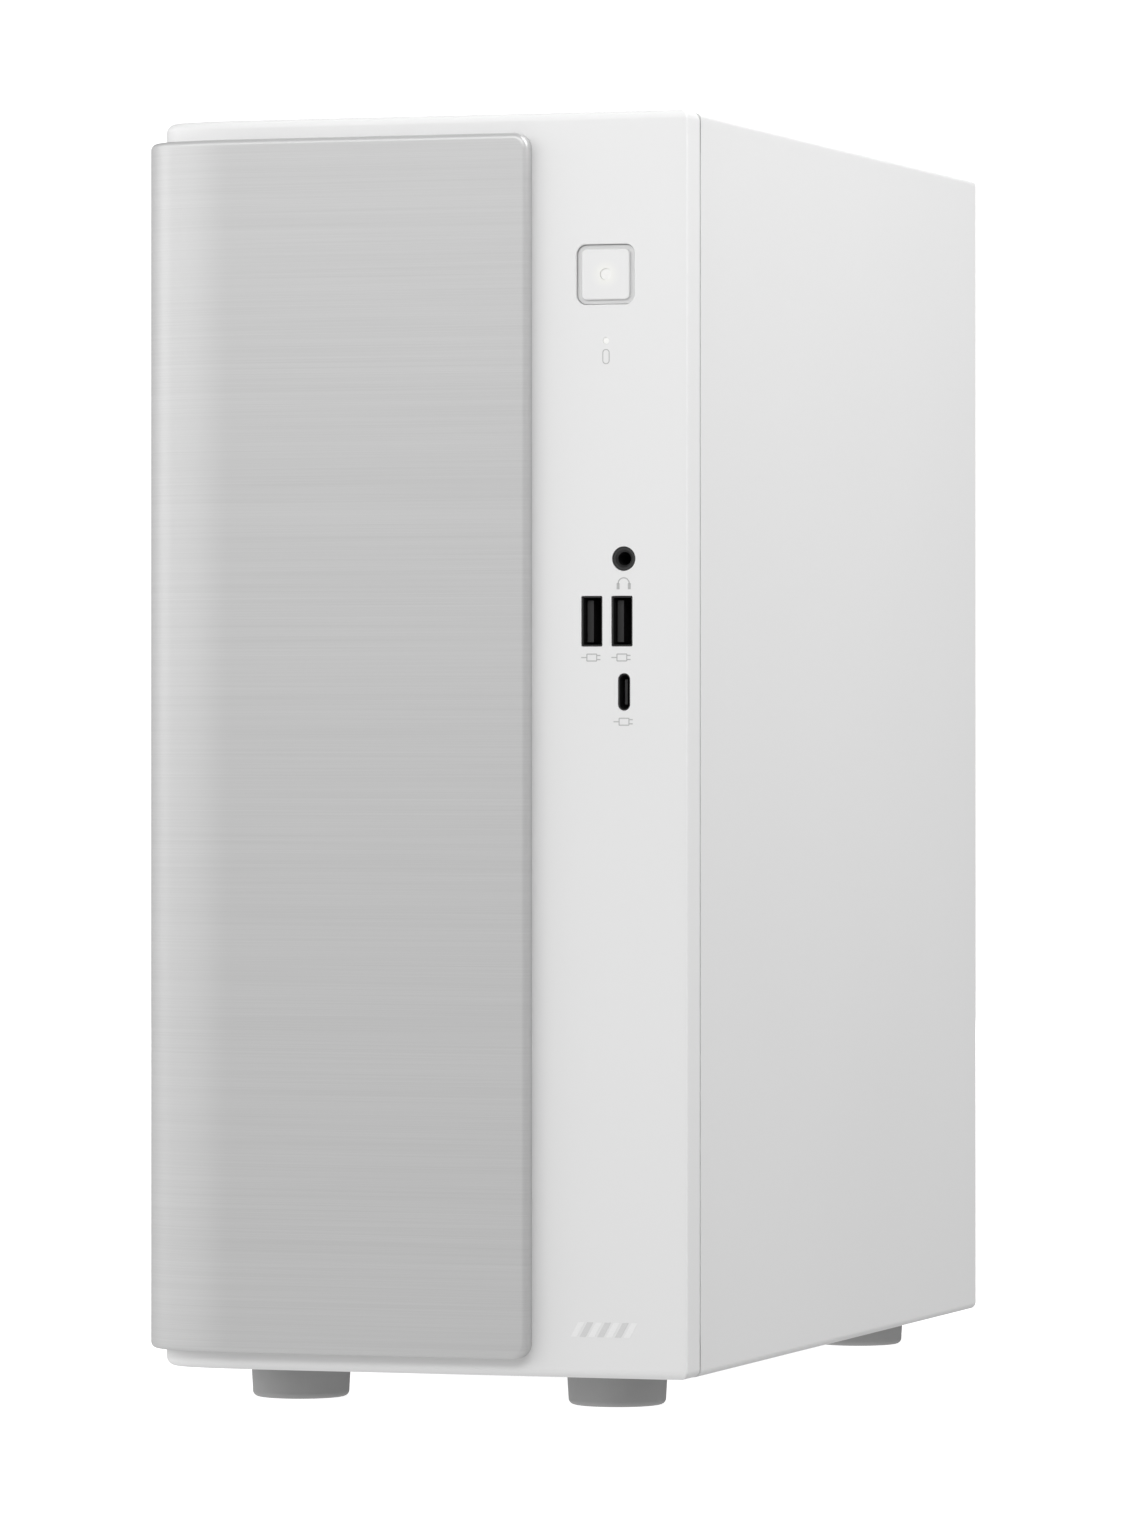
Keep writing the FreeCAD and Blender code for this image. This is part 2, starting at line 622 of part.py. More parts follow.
def slot_retainer():
    """Swinging bar that covers the slot cover tabs."""
    y, z = RETAINER_AXIS
    x0, x1 = SLOT_TAB_X - 2.7, SLOT_TAB_X - 0.5
    top = SLOT_FIRST_Z + 3 * SLOT_PITCH + 12
    bar = block("x", y - 4, RETAINER_REAR_Y, z, top, x0, x1)
    bar = round_edges(bar, 3.0, lambda p: near(p.z, top) and near(p.y, RETAINER_REAR_Y))
    end = rod("x", y, z, x0, x1, 4.0)
    thumb = box(x0, x1 + 3.2, RETAINER_REAR_Y - 1.2, RETAINER_REAR_Y, top - 22, top - 8)
    return fuse([bar, end, thumb]).cut(rod("x", y, z, x0 - 1, x1 + 1, 1.58))


def motherboard_tray():
    holes = [rectangle("x", CPU_Y - 42, CPU_Y + 42, CPU_Z - 42, CPU_Z + 42, TRAY_X, 8)]
    holes += slot_row("x", 150, 60, TRAY_X, 80, 8, 16, 2)
    front = FRONT_WALL_Y + SHEET
    outline = rectangle("x", front, REAR_WALL_Y - 0.2, BOTTOM + 2.8, 272, TRAY_X)
    sheet = slab("x", outline, TRAY_X, TRAY_X + SHEET, holes)
    flanges = [box(TRAY_X, RIGHT - 1.5, y, y + SHEET, BOTTOM + 5, 268)
               for y in (front, REAR_WALL_Y - 1.2)]
    return fuse([sheet] + flanges)


def side_skin(side):
    """A side panel's skin: wall, bends and short flanges over the top and floor sheets."""
    outer = LEFT if side == "left" else RIGHT
    inward = 1 if side == "left" else -1
    front = BEZEL_CORNER_DEPTH + SEAM if side == "left" else BEZEL_DEPTH + SEAM
    rear = CASE_DEPTH + PANEL_REAR_GAP + SHEET if side == "left" else CASE_DEPTH
    flange = FLANGE_WIDTH if side == "left" else FLANGE_WIDTH + 4.0
    skin = box(min(outer, outer + inward * flange), max(outer, outer + inward * flange),
               front, rear, BOTTOM, TOP)
    skin = round_edges(skin, 2.0, lambda p: near(p.x, outer) and (near(p.z, TOP) or near(p.z, BOTTOM)))
    inner = outer + inward * SHEET
    far = outer + inward * (flange + 5)
    hollow = box(min(inner, far), max(inner, far), front - 1, rear + 1, BOTTOM + SHEET, TOP - SHEET)
    hollow = round_edges(hollow, 1.0, lambda p: near(p.x, inner) and
                         (near(p.z, TOP - SHEET) or near(p.z, BOTTOM + SHEET)))
    return skin.cut(hollow)


def right_side_panel():
    return side_skin("right")


def left_side_panel():
    skin = side_skin("left")
    rear = CASE_DEPTH + PANEL_REAR_GAP
    flange = box(LEFT + 0.5, LEFT + FLANGE_WIDTH + 2, rear, rear + SHEET, BOTTOM + 0.5, TOP - 0.5)
    flange = round_edges(flange, 3.0, lambda p: near(p.x, LEFT + FLANGE_WIDTH + 2)
                         and (near(p.z, TOP - 0.5) or near(p.z, BOTTOM + 0.5)))
    vents = slot_row("x", CPU_Y, CPU_Z, LEFT - 1, 74, 4, 9, 9)
    vents += slot_row("x", 110, CPU_Z, LEFT - 1, 60, 4, 9, 9)
    tools = [slab("x", wire, LEFT - 1, LEFT + 3) for wire in vents]
    tools += [rod("y", THUMBSCREW_X, z, rear - 1, rear + 2, 2.1) for z in THUMBSCREW_Z.values()]
    return fuse([skin, flange]).cut(tools)


def thumbscrew(z):
    """Captive knurled screw in the side panel's rear flange."""
    seat = CASE_DEPTH + PANEL_REAR_GAP + SHEET + 0.1
    ridges = 20
    points = []
    for index in range(2 * ridges):
        radius = 6.0 if index % 2 == 0 else 5.5
        angle = math.pi * index / ridges
        points.append((THUMBSCREW_X + radius * math.cos(angle), z + radius * math.sin(angle)))
    head = slab("y", polygon("y", points, seat), seat, seat + THUMBSCREW_HEAD)
    slot = box(THUMBSCREW_X - 5, THUMBSCREW_X + 5, seat + THUMBSCREW_HEAD - 1.6,
               seat + THUMBSCREW_HEAD + 1, z - 0.7, z + 0.7)
    shank = rod("y", THUMBSCREW_X, z, 283.5, seat + 1, 1.7)
    return fuse([head.cut(slot), shank])


def foot(x, y):
    """Tapered round rubber foot with a recess for its screw."""
    cone = Part.makeCone(FOOT_RADIUS_BOTTOM, FOOT_RADIUS_TOP, FOOT_HEIGHT, Vector(x, y, 0))
    cone = round_edges(cone, FOOT_EDGE_RADIUS, lambda p: near(p.z, 0))
    return cone.cut([rod("z", x, y, -1, 5, 4.2), rod("z", x, y, 4, 10, 1.9)])


# ---- Expansion slots and rear sockets ----
def slot_covers():
    covers = []
    for z in slot_centres():
        half = SLOT_COVER_WIDTH / 2
        blade = box(SLOT_TAB_X, 62, 288.0, 288.9, z - half, z + half)
        tab = box(SLOT_TAB_X, SLOT_TAB_X + 0.9, 288.0, 288.9 + SLOT_TAB_LENGTH, z - half, z + half)
        bead = box(-45, 48, 288.5, 289.5, z - 2, z + 2)
        covers.append(fuse([blade, tab, bead]))
    return covers


USB_STACK_Z = (244.0, 184.0, 161.0)
VIDEO_Z = (226.0, 206.0)
NETWORK_Z = 139.0
AUDIO_X = (28.0, 39.5, 51.0)
AUDIO_Z = 115.0
PORT_FRONT_Y = 270.0
PORT_FACE_Y = 290.4


def socket_body(x0, x1, z0, z1):
    return box(x0, x1, PORT_FRONT_Y, PORT_FACE_Y, z0, z1)


def io_shield():
    holes = [rectangle("y", 43.2, BOARD_X + 0.3, z - 7.6, z + 7.6, 289.1) for z in USB_STACK_Z]
    holes += [rectangle("y", 51.2, BOARD_X + 0.3, z - 8.4, z + 8.4, 289.1) for z in VIDEO_Z]
    holes.append(rectangle("y", 44.8, BOARD_X + 0.3, NETWORK_Z - 8.6, NETWORK_Z + 8.6, 289.1))
    holes += [circle("y", x, AUDIO_Z, 289.1, 4.3) for x in AUDIO_X]
    x0, x1 = IO_SHIELD_X
    z0, z1 = IO_SHIELD_Z
    outline = rectangle("y", x0 + 0.1, x1 - 0.1, z0 + 0.1, z1 - 0.1, 289.1, 0.9)
    return slab("y", outline, 289.1, 289.9, holes)


def rear_usb_ports():
    """Three stacks of two receptacles each."""
    stacks = []
    for z in USB_STACK_Z:
        body = socket_body(43.5, BOARD_X, z - 7.3, z + 7.3)
        tools = [box(x - 2.6, x + 2.6, 280, 292, z - 6.2, z + 6.2) for x in (47.1, 55.0)]
        tongues = [box(x - 0.2, x + 1.6, 279, 289, z - 5.4, z + 5.4) for x in (47.1, 55.0)]
        stacks.append(fuse([body.cut(tools)] + tongues))
    return stacks


def rear_video_ports():
    ports = []
    for z in VIDEO_Z:
        body = socket_body(51.5, BOARD_X, z - 8.1, z + 8.1)
        hollow = block("y", 52.3, 57.6, z - 7.2, z + 7.2, 280, 292, 1.0)
        tongue = box(54.5, 55.7, 279, 289, z - 5.6, z + 5.6)
        ports.append(fuse([body.cut(hollow), tongue]))
    return ports


def rear_network_port():
    body = socket_body(45.1, BOARD_X, NETWORK_Z - 8.3, NETWORK_Z + 8.3)
    return body.cut(box(47.0, 57.0, 277, 292, NETWORK_Z - 6.0, NETWORK_Z + 6.0))


def rear_audio_jacks():
    """Stacked housing on the board, with three barrels held against its face."""
    jacks = [box(22, BOARD_X, PORT_FRONT_Y - 4, 276, AUDIO_Z - 6, AUDIO_Z + 6)]
    for x in AUDIO_X:
        barrel = rod("y", x, AUDIO_Z, 276, PORT_FACE_Y, 4.0)
        jacks.append(barrel.cut(rod("y", x, AUDIO_Z, 278, 292, 1.8)))
    return jacks


# ---- Motherboard and what it carries ----
def board_hole_places():
    places = [(y, z) for y in BOARD_HOLES_Y for z in BOARD_HOLES_Z]
    return [place for place in places if place != (BOARD_HOLES_Y[2], BOARD_HOLES_Z[0])]


def motherboard():
    holes = [circle("x", y, z, BOARD_X, 1.9) for y, z in board_hole_places()]
    holes += [circle("x", y, z, BOARD_X, 2.2) for y, z in cooler_pin_places()]
    outline = rectangle("x", BOARD_REAR_Y - BOARD_SIZE, BOARD_REAR_Y, BOARD_BOTTOM_Z,
                        BOARD_BOTTOM_Z + BOARD_SIZE, BOARD_X, 1.0)
    return slab("x", outline, BOARD_X, BOARD_X + BOARD_THICKNESS, holes)


def standoffs():
    return [tube("x", y, z, BOARD_X + BOARD_THICKNESS, TRAY_X, 3.0, 1.55) for y, z in board_hole_places()]


def cpu_socket():
    frame = block("x", CPU_Y - 25, CPU_Y + 25, CPU_Z - 25, CPU_Z + 25, BOARD_X - 3.2, BOARD_X, 2)
    seat = box(BOARD_X - 4, BOARD_X - 1.2, CPU_Y - 19, CPU_Y + 19, CPU_Z - 19, CPU_Z + 19)
    lever = rod("z", BOARD_X - 1.6, CPU_Y - 27, CPU_Z - 24, CPU_Z + 30, 0.9)
    lever_end = rod("y", BOARD_X - 1.6, CPU_Z - 23.2, CPU_Y - 27, CPU_Y - 24, 0.9)
    return fuse([frame.cut(seat), lever, lever_end])


def processor():
    base = box(BOARD_X - 2.6, BOARD_X - 1.2, CPU_Y - 18.7, CPU_Y + 18.7, CPU_Z - 18.7, CPU_Z + 18.7)
    lid = block("x", CPU_Y - 15, CPU_Y + 15, CPU_Z - 15, CPU_Z + 15, BOARD_X - 5.2, BOARD_X - 2.6, 2)
    return fuse([base, lid])


def cooler_pin_places():
    return [(CPU_Y + dy, CPU_Z + dz) for dy in (-COOLER_PIN_OFFSET, COOLER_PIN_OFFSET)
            for dz in (-COOLER_PIN_OFFSET, COOLER_PIN_OFFSET)]


def cpu_heatsink():
    """Round extrusion: a core with straight radial fins."""
    fins = 40
    core, tip, half_fin = 15.5, 43.0, 0.55
    points = []
    for index in range(fins):
        angle = 2 * math.pi * index / fins
        across = (-math.sin(angle) * half_fin, math.cos(angle) * half_fin)
        along = (math.cos(angle), math.sin(angle))
        for radius, sign in ((core, -1), (tip, -1), (tip, 1), (core, 1)):
            points.append((CPU_Y + along[0] * radius + across[0] * sign,
                           CPU_Z + along[1] * radius + across[1] * sign))
    body = slab("x", polygon("x", points, 20.0), 20.0, 50.0)
    boss = rod("x", CPU_Y, CPU_Z, 49.0, BOARD_X - 5.2, 15.5)
    return fuse([body, boss])


def fan_blades(hub, tip, width, count, pitch_angle):
    """Straight blades at a pitch angle round the Z axis, trimmed to the tip radius."""
    ring = Part.makeCylinder(tip, width).cut(Part.makeCylinder(hub - 0.8, width))
    chord = 2 * math.pi * (hub + tip) / 2 / count * 0.95
    blades = []
    for index in range(count):
        blade = Part.makeBox(tip + 2, chord, 1.3, Vector(0, -chord / 2, -0.65))
        blade.rotate(Vector(0, 0, 0), Vector(1, 0, 0), pitch_angle)
        blade.translate(Vector(0, 0, width / 2))
        blade.rotate(Vector(0, 0, 0), Vector(0, 0, 1), 360.0 * index / count)
        blades.append(blade.common(ring))
    return blades


def fan_rotor(hub, tip, width, count):
    """Hub cup with blades, standing on Z = 0."""
    cup = Part.makeCylinder(hub, width)
    cup = round_edges(cup, 1.2, lambda p: near(p.z, width))
    hollow = Part.makeCylinder(hub - 1.5, width - 1.5)
    return fuse([cup.cut(hollow)] + fan_blades(hub, tip, width, count, 34.0))


def aim(shape, direction, place):
    """Turn a shape that stands along +Z so that it points along direction, then move it."""
    turned = shape.copy()
    turned.Placement = FreeCAD.Placement(Vector(*place), FreeCAD.Rotation(AXES["z"], direction))
    return turned


def motor_mount(reach, hub, thickness, arms):
    """Motor cup with spokes out to the frame, standing on Z = 0."""
    shapes = [Part.makeCylinder(hub, thickness)]
    for index in range(arms):
        arm = Part.makeBox(reach, 5, thickness, Vector(0, -2.5, 0))
        arm.rotate(Vector(0, 0, 0), Vector(0, 0, 1), 360.0 * index / arms + 45)
        shapes.append(arm)
    return fuse(shapes)


def cpu_fan_frame():
    ring = tube("x", CPU_Y, CPU_Z, -3.0, 19.0, 46.0, 44.4)
    mount = aim(motor_mount(45.2, 15.5, 2.0, 4), AXES["x"], (-3.0, CPU_Y, CPU_Z))
    arms = []
    for y, z in cooler_pin_places():
        dy, dz = y - CPU_Y, z - CPU_Z
        reach = math.hypot(dy, dz)
        ear = Part.makeBox(4, reach - 45, 8, Vector(15, 45, -4))
        ear.rotate(Vector(0, 0, 0), Vector(1, 0, 0), math.degrees(math.atan2(dz, dy)))
        ear.translate(Vector(0, CPU_Y, CPU_Z))
        arms.append(ear)
        arms.append(rod("x", y, z, 15.0, BOARD_X, 3.6))
        arms.append(rod("x", y, z, 13.0, 15.2, 4.4))
    return fuse([ring, mount] + arms)


def cpu_fan_rotor():
    return aim(fan_rotor(17.0, CPU_FAN_RADIUS, 14.0, 7), AXES["x"], (1.5, CPU_Y, CPU_Z))


def rear_fan_frame():
    u, v = REAR_FAN_CENTRE
    half = REAR_FAN_SIZE / 2
    front = 288.8 - REAR_FAN_DEPTH
    holes = [circle("y", u, v, front, 38.0)] + [circle("y", x, z, front, 2.2) for x, z in rear_fan_holes()]
    frame = slab("y", rectangle("y", u - half, u + half, v - half, v + half, front, 4.0),
                 front, 288.8, holes)
    waist = tube("y", u, v, front + 4, 284.8, 70, 40.0)
    corner_keep = [rod("y", x, z, front, 288.8, 4.5) for x, z in rear_fan_holes()]
    frame = frame.cut(waist.cut(corner_keep))
    mount = aim(motor_mount(39.0, 15.0, 2.0, 4), AXES["y"], (u, front, v))
    return fuse([frame, mount])


def rear_fan_rotor():
    u, v = REAR_FAN_CENTRE
    return aim(fan_rotor(16.5, 37.0, 19.0, 7), AXES["y"], (u, 288.8 - REAR_FAN_DEPTH + 3.5, v))


MEMORY_Y = (104.0, 114.0)
MEMORY_Z = (107.0, 249.0)
LATCH_AXIS = (54.5, 253.0)


def memory_sockets():
    sockets = []
    for y in MEMORY_Y:
        low, high = MEMORY_Z
        body = box(51.5, BOARD_X, y - 3.25, y + 3.25, low, high)
        fixed_end = box(46.0, BOARD_X, y - 3.25, y + 3.25, low - 3, low + 1.5)
        groove = box(40.0, 57.2, y - 0.75, y + 0.75, low + 3.5, high - 3.5)
        cheeks = [box(51.5, BOARD_X, y + side - 0.35, y + side + 0.35, high, high + 7.5)
                  for side in (-2.9, 2.9)]
        floor = box(58.2, BOARD_X, y - 3.25, y + 3.25, high, high + 7.5)
        sockets.append(fuse([body.cut(groove), fixed_end, floor] + cheeks))
    return sockets


def memory_modules():
    modules = []
    for y in MEMORY_Y:
        card = box(26.0, 57.2, y - 0.6, y + 0.6, 111.3, 244.6)
        chips = [box(32, 43, y - 1.5, y + 1.5, z, z + 9) for z in (116, 131, 146, 161, 186, 201, 216, 231)]
        modules.append(fuse([card] + chips))
    return modules


def memory_latch(y):
    """Ejector lever at the upper end of a memory socket, on a short pivot."""
    x, z = LATCH_AXIS
    pivot = rod("y", x, z, y - 2.5, y + 2.5, 1.2)
    lever = box(44.0, 56.5, y - 2.3, y + 2.3, z - 3.1, z + 2.4)
    grip = box(41.5, 44.5, y - 2.3, y + 2.3, z - 1.5, z + 4.5)
    return fuse([lever, grip, pivot])


def card_with_chips(y0, y1, z, chips):
    """A small card lying over the board, on its socket and its screw post."""
    card = box(BOARD_X - 3.6, BOARD_X - 2.8, y0, y1, z - 11, z + 11)
    socket = box(BOARD_X - 4.6, BOARD_X, y0 - 5, y0 + 1.0, z - 11, z + 11)
    post = rod("x", y1 - 1.5, z, BOARD_X - 2.8, BOARD_X, 2.5)
    tops = [box(BOARD_X - 4.9, BOARD_X - 3.6, a, b, z - 7, z + 7) for a, b in chips]
    return fuse([card, socket, post] + tops)


def solid_state_drive():
    return card_with_chips(128.0, 206.0, 129.0, ((140, 154), (158, 172), (180, 192)))


def wireless_card():
    return card_with_chips(226.0, 254.0, 129.0, ((234, 249),))


def finned_block(y0, y1, z0, z1, height, fins):
    base = box(BOARD_X - 3.5, BOARD_X - 0.8, y0, y1, z0, z1)
    pad = box(BOARD_X - 0.8, BOARD_X, y0 + 4, y1 - 4, z0 + 2, z1 - 2)
    pitch = (y1 - y0 - 1.2) / (fins - 1)
    blades = [box(BOARD_X - height, BOARD_X - 3.0, y0 + pitch * index, y0 + pitch * index + 1.2, z0, z1)
              for index in range(fins)]
    return fuse([base, pad] + blades)


def chipset_heatsink():
    return finned_block(84.0, 120.0, 52.0, 88.0, 11.0, 9)


def vrm_heatsink():
    return finned_block(184.0, 240.0, 249.0, 263.0, 16.0, 12)


def expansion_sockets():
    sockets = []
    for z, length in ((SLOT_FIRST_Z + 3 * SLOT_PITCH, 89.0), (SLOT_FIRST_Z + SLOT_PITCH, 25.0)):
        body = box(47.9, BOARD_X, 229.0 - length, 229.0, z - 3.75, z + 3.75)
        groove = box(47.0, 56.5, 231.0 - length, 227.0, z - 0.9, z + 0.9)
        sockets.append(body.cut(groove))
    return sockets


def coin_cell():
    holder = rod("x", 165.0, 72.6, BOARD_X - 3.0, BOARD_X, 11.4)
    cell = rod("x", 165.0, 72.6, BOARD_X - 5.0, BOARD_X - 1.6, 10.0)
    return [holder.cut(cell), cell]


ATX_PLUG = (49.8, 176.0)
CPU_PLUG = (251.0, 255.0)
SATA_PLUG = (52.0, 79.0)
FRONT_HEADER = (60.0, 40.0)


def pin_grid(y0, y1, z0, z1, top, rows, columns):
    """A shrouded pin header, open at the top."""
    body = box(top, BOARD_X, y0, y1, z0, z1)
    tools = []
    pitch_y = (y1 - y0) / columns
    pitch_z = (z1 - z0) / rows
    for row in range(rows):
        for column in range(columns):
            y = y0 + pitch_y * (column + 0.5)
            z = z0 + pitch_z * (row + 0.5)
            tools.append(box(top - 1, BOARD_X - 2, y - 1.6, y + 1.6, z - 1.6, z + 1.6))
    return body.cut(tools)


def board_connectors():
    """Power, drive and header connectors, and the capacitors near the processor."""
    y, z = ATX_PLUG
    parts = [pin_grid(y - 4.8, y + 4.8, z - 25.8, z + 25.8, 46.0, 12, 2)]
    y, z = CPU_PLUG
    parts.append(pin_grid(y - 4.8, y + 4.8, z - 4.8, z + 4.8, 46.0, 2, 2))
    y, z = SATA_PLUG
    for index in range(3):
        parts.append(box(50.0, BOARD_X, y - 7, y + 7, z + 14 * (index - 1) - 3.5, z + 14 * (index - 1) + 3.5))
    y, z = FRONT_HEADER
    parts.append(box(50.5, BOARD_X, y - 2.6, y + 2.6, z - 12, z + 12))
    for z in (168.0, 178.0, 188.0, 198.0, 208.0, 218.0):
        parts.append(rod("x", 266.0, z, BOARD_X - 9, BOARD_X, 3.2))
    return parts


# ---- Power supply and drive ----
def psu_case():
    x0, x1 = PSU_X
    y0, y1 = PSU_Y
    z0, z1 = PSU_Z
    body = box(x0, x1, y0, y1, z0, z1).cut(box(x0 + 1, x1 - 1, y0 + 1, y1 - 1, z0 + 1, z1 - 1))
    opening = rod("z", 0, PSU_FAN_Y, z0 - 1, z0 + 1.5, 38.0)
    rings = [tube("z", 0, PSU_FAN_Y, z0, z0 + 1, radius + 0.8, radius - 0.8) for radius in (12, 20, 28, 36)]
    spokes = [box(-40, 40, PSU_FAN_Y - 1, PSU_FAN_Y + 1, z0, z0 + 1),
              box(-1, 1, PSU_FAN_Y - 40, PSU_FAN_Y + 40, z0, z0 + 1)]
    guard = fuse(rings + spokes + [rod("z", 0, PSU_FAN_Y, z0, z0 + 1, 12.5)])
    u, v = AC_INLET_CENTRE
    tools = [box(u - 13.7, u + 13.7, y1 - 2, y1 + 1, v - 10.2, v + 10.2)]
    tools += [slab("y", wire, y1 - 2, y1 + 1) for wire in round_vent("y", -17, v, y1 - 2, 25.0, 2.0, 5.2)]
    tools += [rod("y", x, z, y1 - 2, y1 + 1, 1.55) for x, z in psu_screw_places()]
    tools.append(block("y", 20, 54, 278.6, 289.4, y0 - 1, y0 + 2, 3.0))
    return fuse([body.cut(opening), guard]).cut(tools)


def psu_fan_frame():
    z0 = PSU_Z[0] + 1.0
    frame = tube("z", 0, PSU_FAN_Y, z0, z0 + 15, 40.0, 38.2)
    mount = motor_mount(39.0, 15.0, 2.0, 4)
    mount.translate(Vector(0, PSU_FAN_Y, z0 + 13))
    return fuse([frame, mount])


def psu_fan_rotor():
    rotor = fan_rotor(16.5, 37.2, 10.0, 7)
    rotor.translate(Vector(0, PSU_FAN_Y, PSU_Z[0] + 2.2))
    return rotor


def psu_board():
    """Circuit board with transformer, filter parts and finned sinks."""
    x0, x1 = PSU_X
    z1 = PSU_Z[1]
    y0 = PSU_Y[0]
    parts = [box(x0 + 3, x1 - 3, y0 + 3, PSU_Y[1] - 22, z1 - 5.6, z1 - 4)]
    parts.append(box(-20, 12, y0 + 30, y0 + 60, z1 - 33, z1 - 5.6))
    parts.append(box(-52, -48, y0 + 8, y0 + 72, z1 - 36, z1 - 5.6))
    parts.append(box(44, 48, y0 + 8, y0 + 66, z1 - 36, z1 - 5.6))
    parts += [rod("z", x, y0 + 16, z1 - 30, z1 - 5.6, 8.0) for x in (-34, -12)]
    parts.append(tube("z", 28, y0 + 20, z1 - 18, z1 - 5.6, 9.0, 4.0))
    return parts


def ac_inlet():
    """Three-pin appliance inlet in the supply's rear wall."""
    u, v = AC_INLET_CENTRE
    y1 = PSU_Y[1]
    body = box(u - 13.5, u + 13.5, y1 - 18, y1 + 0.2, v - 10, v + 10)
    flange = block("y", u - 15.5, u + 15.5, v - 12, v + 12, y1, y1 + 1.8, 2.0)
    corners = ((u - 12, v - 8.3), (u + 12, v - 8.3), (u + 12, v + 4.5), (u + 8.2, v + 8.3),
               (u - 8.2, v + 8.3), (u - 12, v + 4.5))
    hollow = slab("y", polygon("y", corners, y1 - 16), y1 - 16, y1 + 3)
    pins = [box(u + dx - 1, u + dx + 1, y1 - 17, y1 - 2, v + dz - 2, v + dz + 2)
            for dx, dz in ((-7, -2.5), (0, 1.5), (7, -2.5))]
    return fuse([fuse([body, flange]).cut(hollow)] + pins)


def hard_drive():
    width, length, height = DRIVE_SIZE
    half = width / 2
    y1 = DRIVE_Y + length
    casting = box(-half, half, DRIVE_Y, y1, DRIVE_Z + 3, DRIVE_Z + height - 1.2)
    casting = round_edges(casting, 3.0, lambda p: near(abs(p.x), half) and (near(p.y, DRIVE_Y) or near(p.y, y1)))
    lid = block("z", -half + 3, half - 3, DRIVE_Y + 3, y1 - 3, DRIVE_Z + height - 1.2, DRIVE_Z + height, 4)
    dish = rod("z", 0, DRIVE_Y + 58, DRIVE_Z + height - 0.5, DRIVE_Z + height + 1, 44)
    board = box(-half + 4, half - 4, DRIVE_Y + 45, y1 - 12, DRIVE_Z + 1.2, DRIVE_Z + 3.5)
    shroud = box(-36, 7, y1 - 10, y1 - 0.5, DRIVE_Z + 0.5, DRIVE_Z + 4)
    notch = box(-35, 6, y1 - 4, y1 + 1, DRIVE_Z + 2.8, DRIVE_Z + 6.4)
    return fuse([casting, lid.cut(dish), board, shroud]).cut(notch)


def drive_cage():
    half = DRIVE_SIZE[0] / 2 + 0.2
    floor_z = DRIVE_Z - 8
    y0, y1 = 26.0, 180.0
    roof = TOP - 3.7
    opening = rectangle("z", -38, 38, 44, 162, floor_z, 8)
    floor = slab("z", rectangle("z", -half - SHEET, half + SHEET, y0, y1, floor_z),
                 floor_z, floor_z + SHEET, [opening])
    walls = []
    for inner, outer in ((-half, -half - SHEET), (half, half + SHEET)):
        low, high = min(inner, outer), max(inner, outer)
        holes = [rectangle("x", 60, 150, DRIVE_Z + 14, DRIVE_Z + 22, low, 3)]
        holes += [circle("x", y, DRIVE_Z + 6.35, low, 1.8) for y in drive_screw_rows()]
        walls.append(slab("x", rectangle("x", y0, y1, floor_z, roof, low), low, high, holes))
    ears = [box(-half - 8, -half, y0, y1, roof - SHEET, roof), box(half, half + 8, y0, y1, roof - SHEET, roof)]
    return fuse([floor] + walls + ears)


def drive_screw_rows():
    return (DRIVE_Y + 28.5, DRIVE_Y + 130.0)


# ---- Fasteners and cables ----
def screw(direction, place, head=3.0, height=2.0, shank=1.5, length=4.0):
    """Pan head with a cross recess. Direction points out of the head; place is under the head."""
    body = Part.makeCylinder(head, height)
    body = round_edges(body, 0.8, lambda p: near(p.z, height))
    recess = [Part.makeBox(3.2, 0.8, 2, Vector(-1.6, -0.4, height - 0.9)),
              Part.makeBox(0.8, 3.2, 2, Vector(-0.4, -1.6, height - 0.9))]
    body = body.cut(recess)
    body = fuse([body, Part.makeCylinder(shank, length + 0.1, Vector(0, 0, -length))])
    return aim(body, direction, place)


def case_screws():
    rear, left, down = AXES["y"], AXES["x"] * -1, AXES["z"] * -1
    screws = [screw(rear, (x, CASE_DEPTH, z)) for x, z in rear_fan_holes() + psu_screw_places()]
    screws += [screw(left, (BOARD_X, y, z)) for y, z in board_hole_places()]
    screws += [screw(down, (x, y, 5.0), length=6.0) for x, y in foot_places().values()]
    wall = DRIVE_SIZE[0] / 2 + 0.2 + SHEET
    for y in drive_screw_rows():
        screws.append(screw(left, (-wall, y, DRIVE_Z + 6.35), length=1.1))
        screws.append(screw(AXES["x"], (wall, y, DRIVE_Z + 6.35), length=1.1))
    return screws


def routed_cable(name, points, radius):
    """A round cable along straight runs joined by tangent arcs as large as the runs allow."""
    spots = [Vector(*spot) for spot in points]
    edges = []
    start = spots[0]
    smallest = None
    for before, corner, after in zip(spots, spots[1:], spots[2:]):
        incoming = (corner - before).normalize()
        outgoing = (after - corner).normalize()
        half_turn = incoming.getAngle(outgoing) / 2
        shorter = min(before.distanceToPoint(corner), corner.distanceToPoint(after))
        setback = 0.45 * shorter
        bend = setback / math.tan(half_turn)
        smallest = bend if smallest is None else min(smallest, bend)
        arc_start = corner - incoming * setback
        arc_end = corner + outgoing * setback
        inward = (outgoing - incoming).normalize()
        centre = corner + inward * (bend / math.cos(half_turn))
        middle = centre - inward * bend
        edges.append(Part.LineSegment(start, arc_start).toShape())
        edges.append(Part.Arc(arc_start, middle, arc_end).toShape())
        start = arc_end
    edges.append(Part.LineSegment(start, spots[-1]).toShape())
    path = Part.Wire(edges)
    section = Part.Wire([Part.makeCircle(radius, spots[0], spots[1] - spots[0])])
    cable = path.makePipeShell([section], True, False)
    expected = math.pi * radius * radius * path.Length
    print("%s: smallest bend %.1f mm, volume / (section x length) %.4f" % (
        name, smallest, cable.Volume / expected))
    return cable


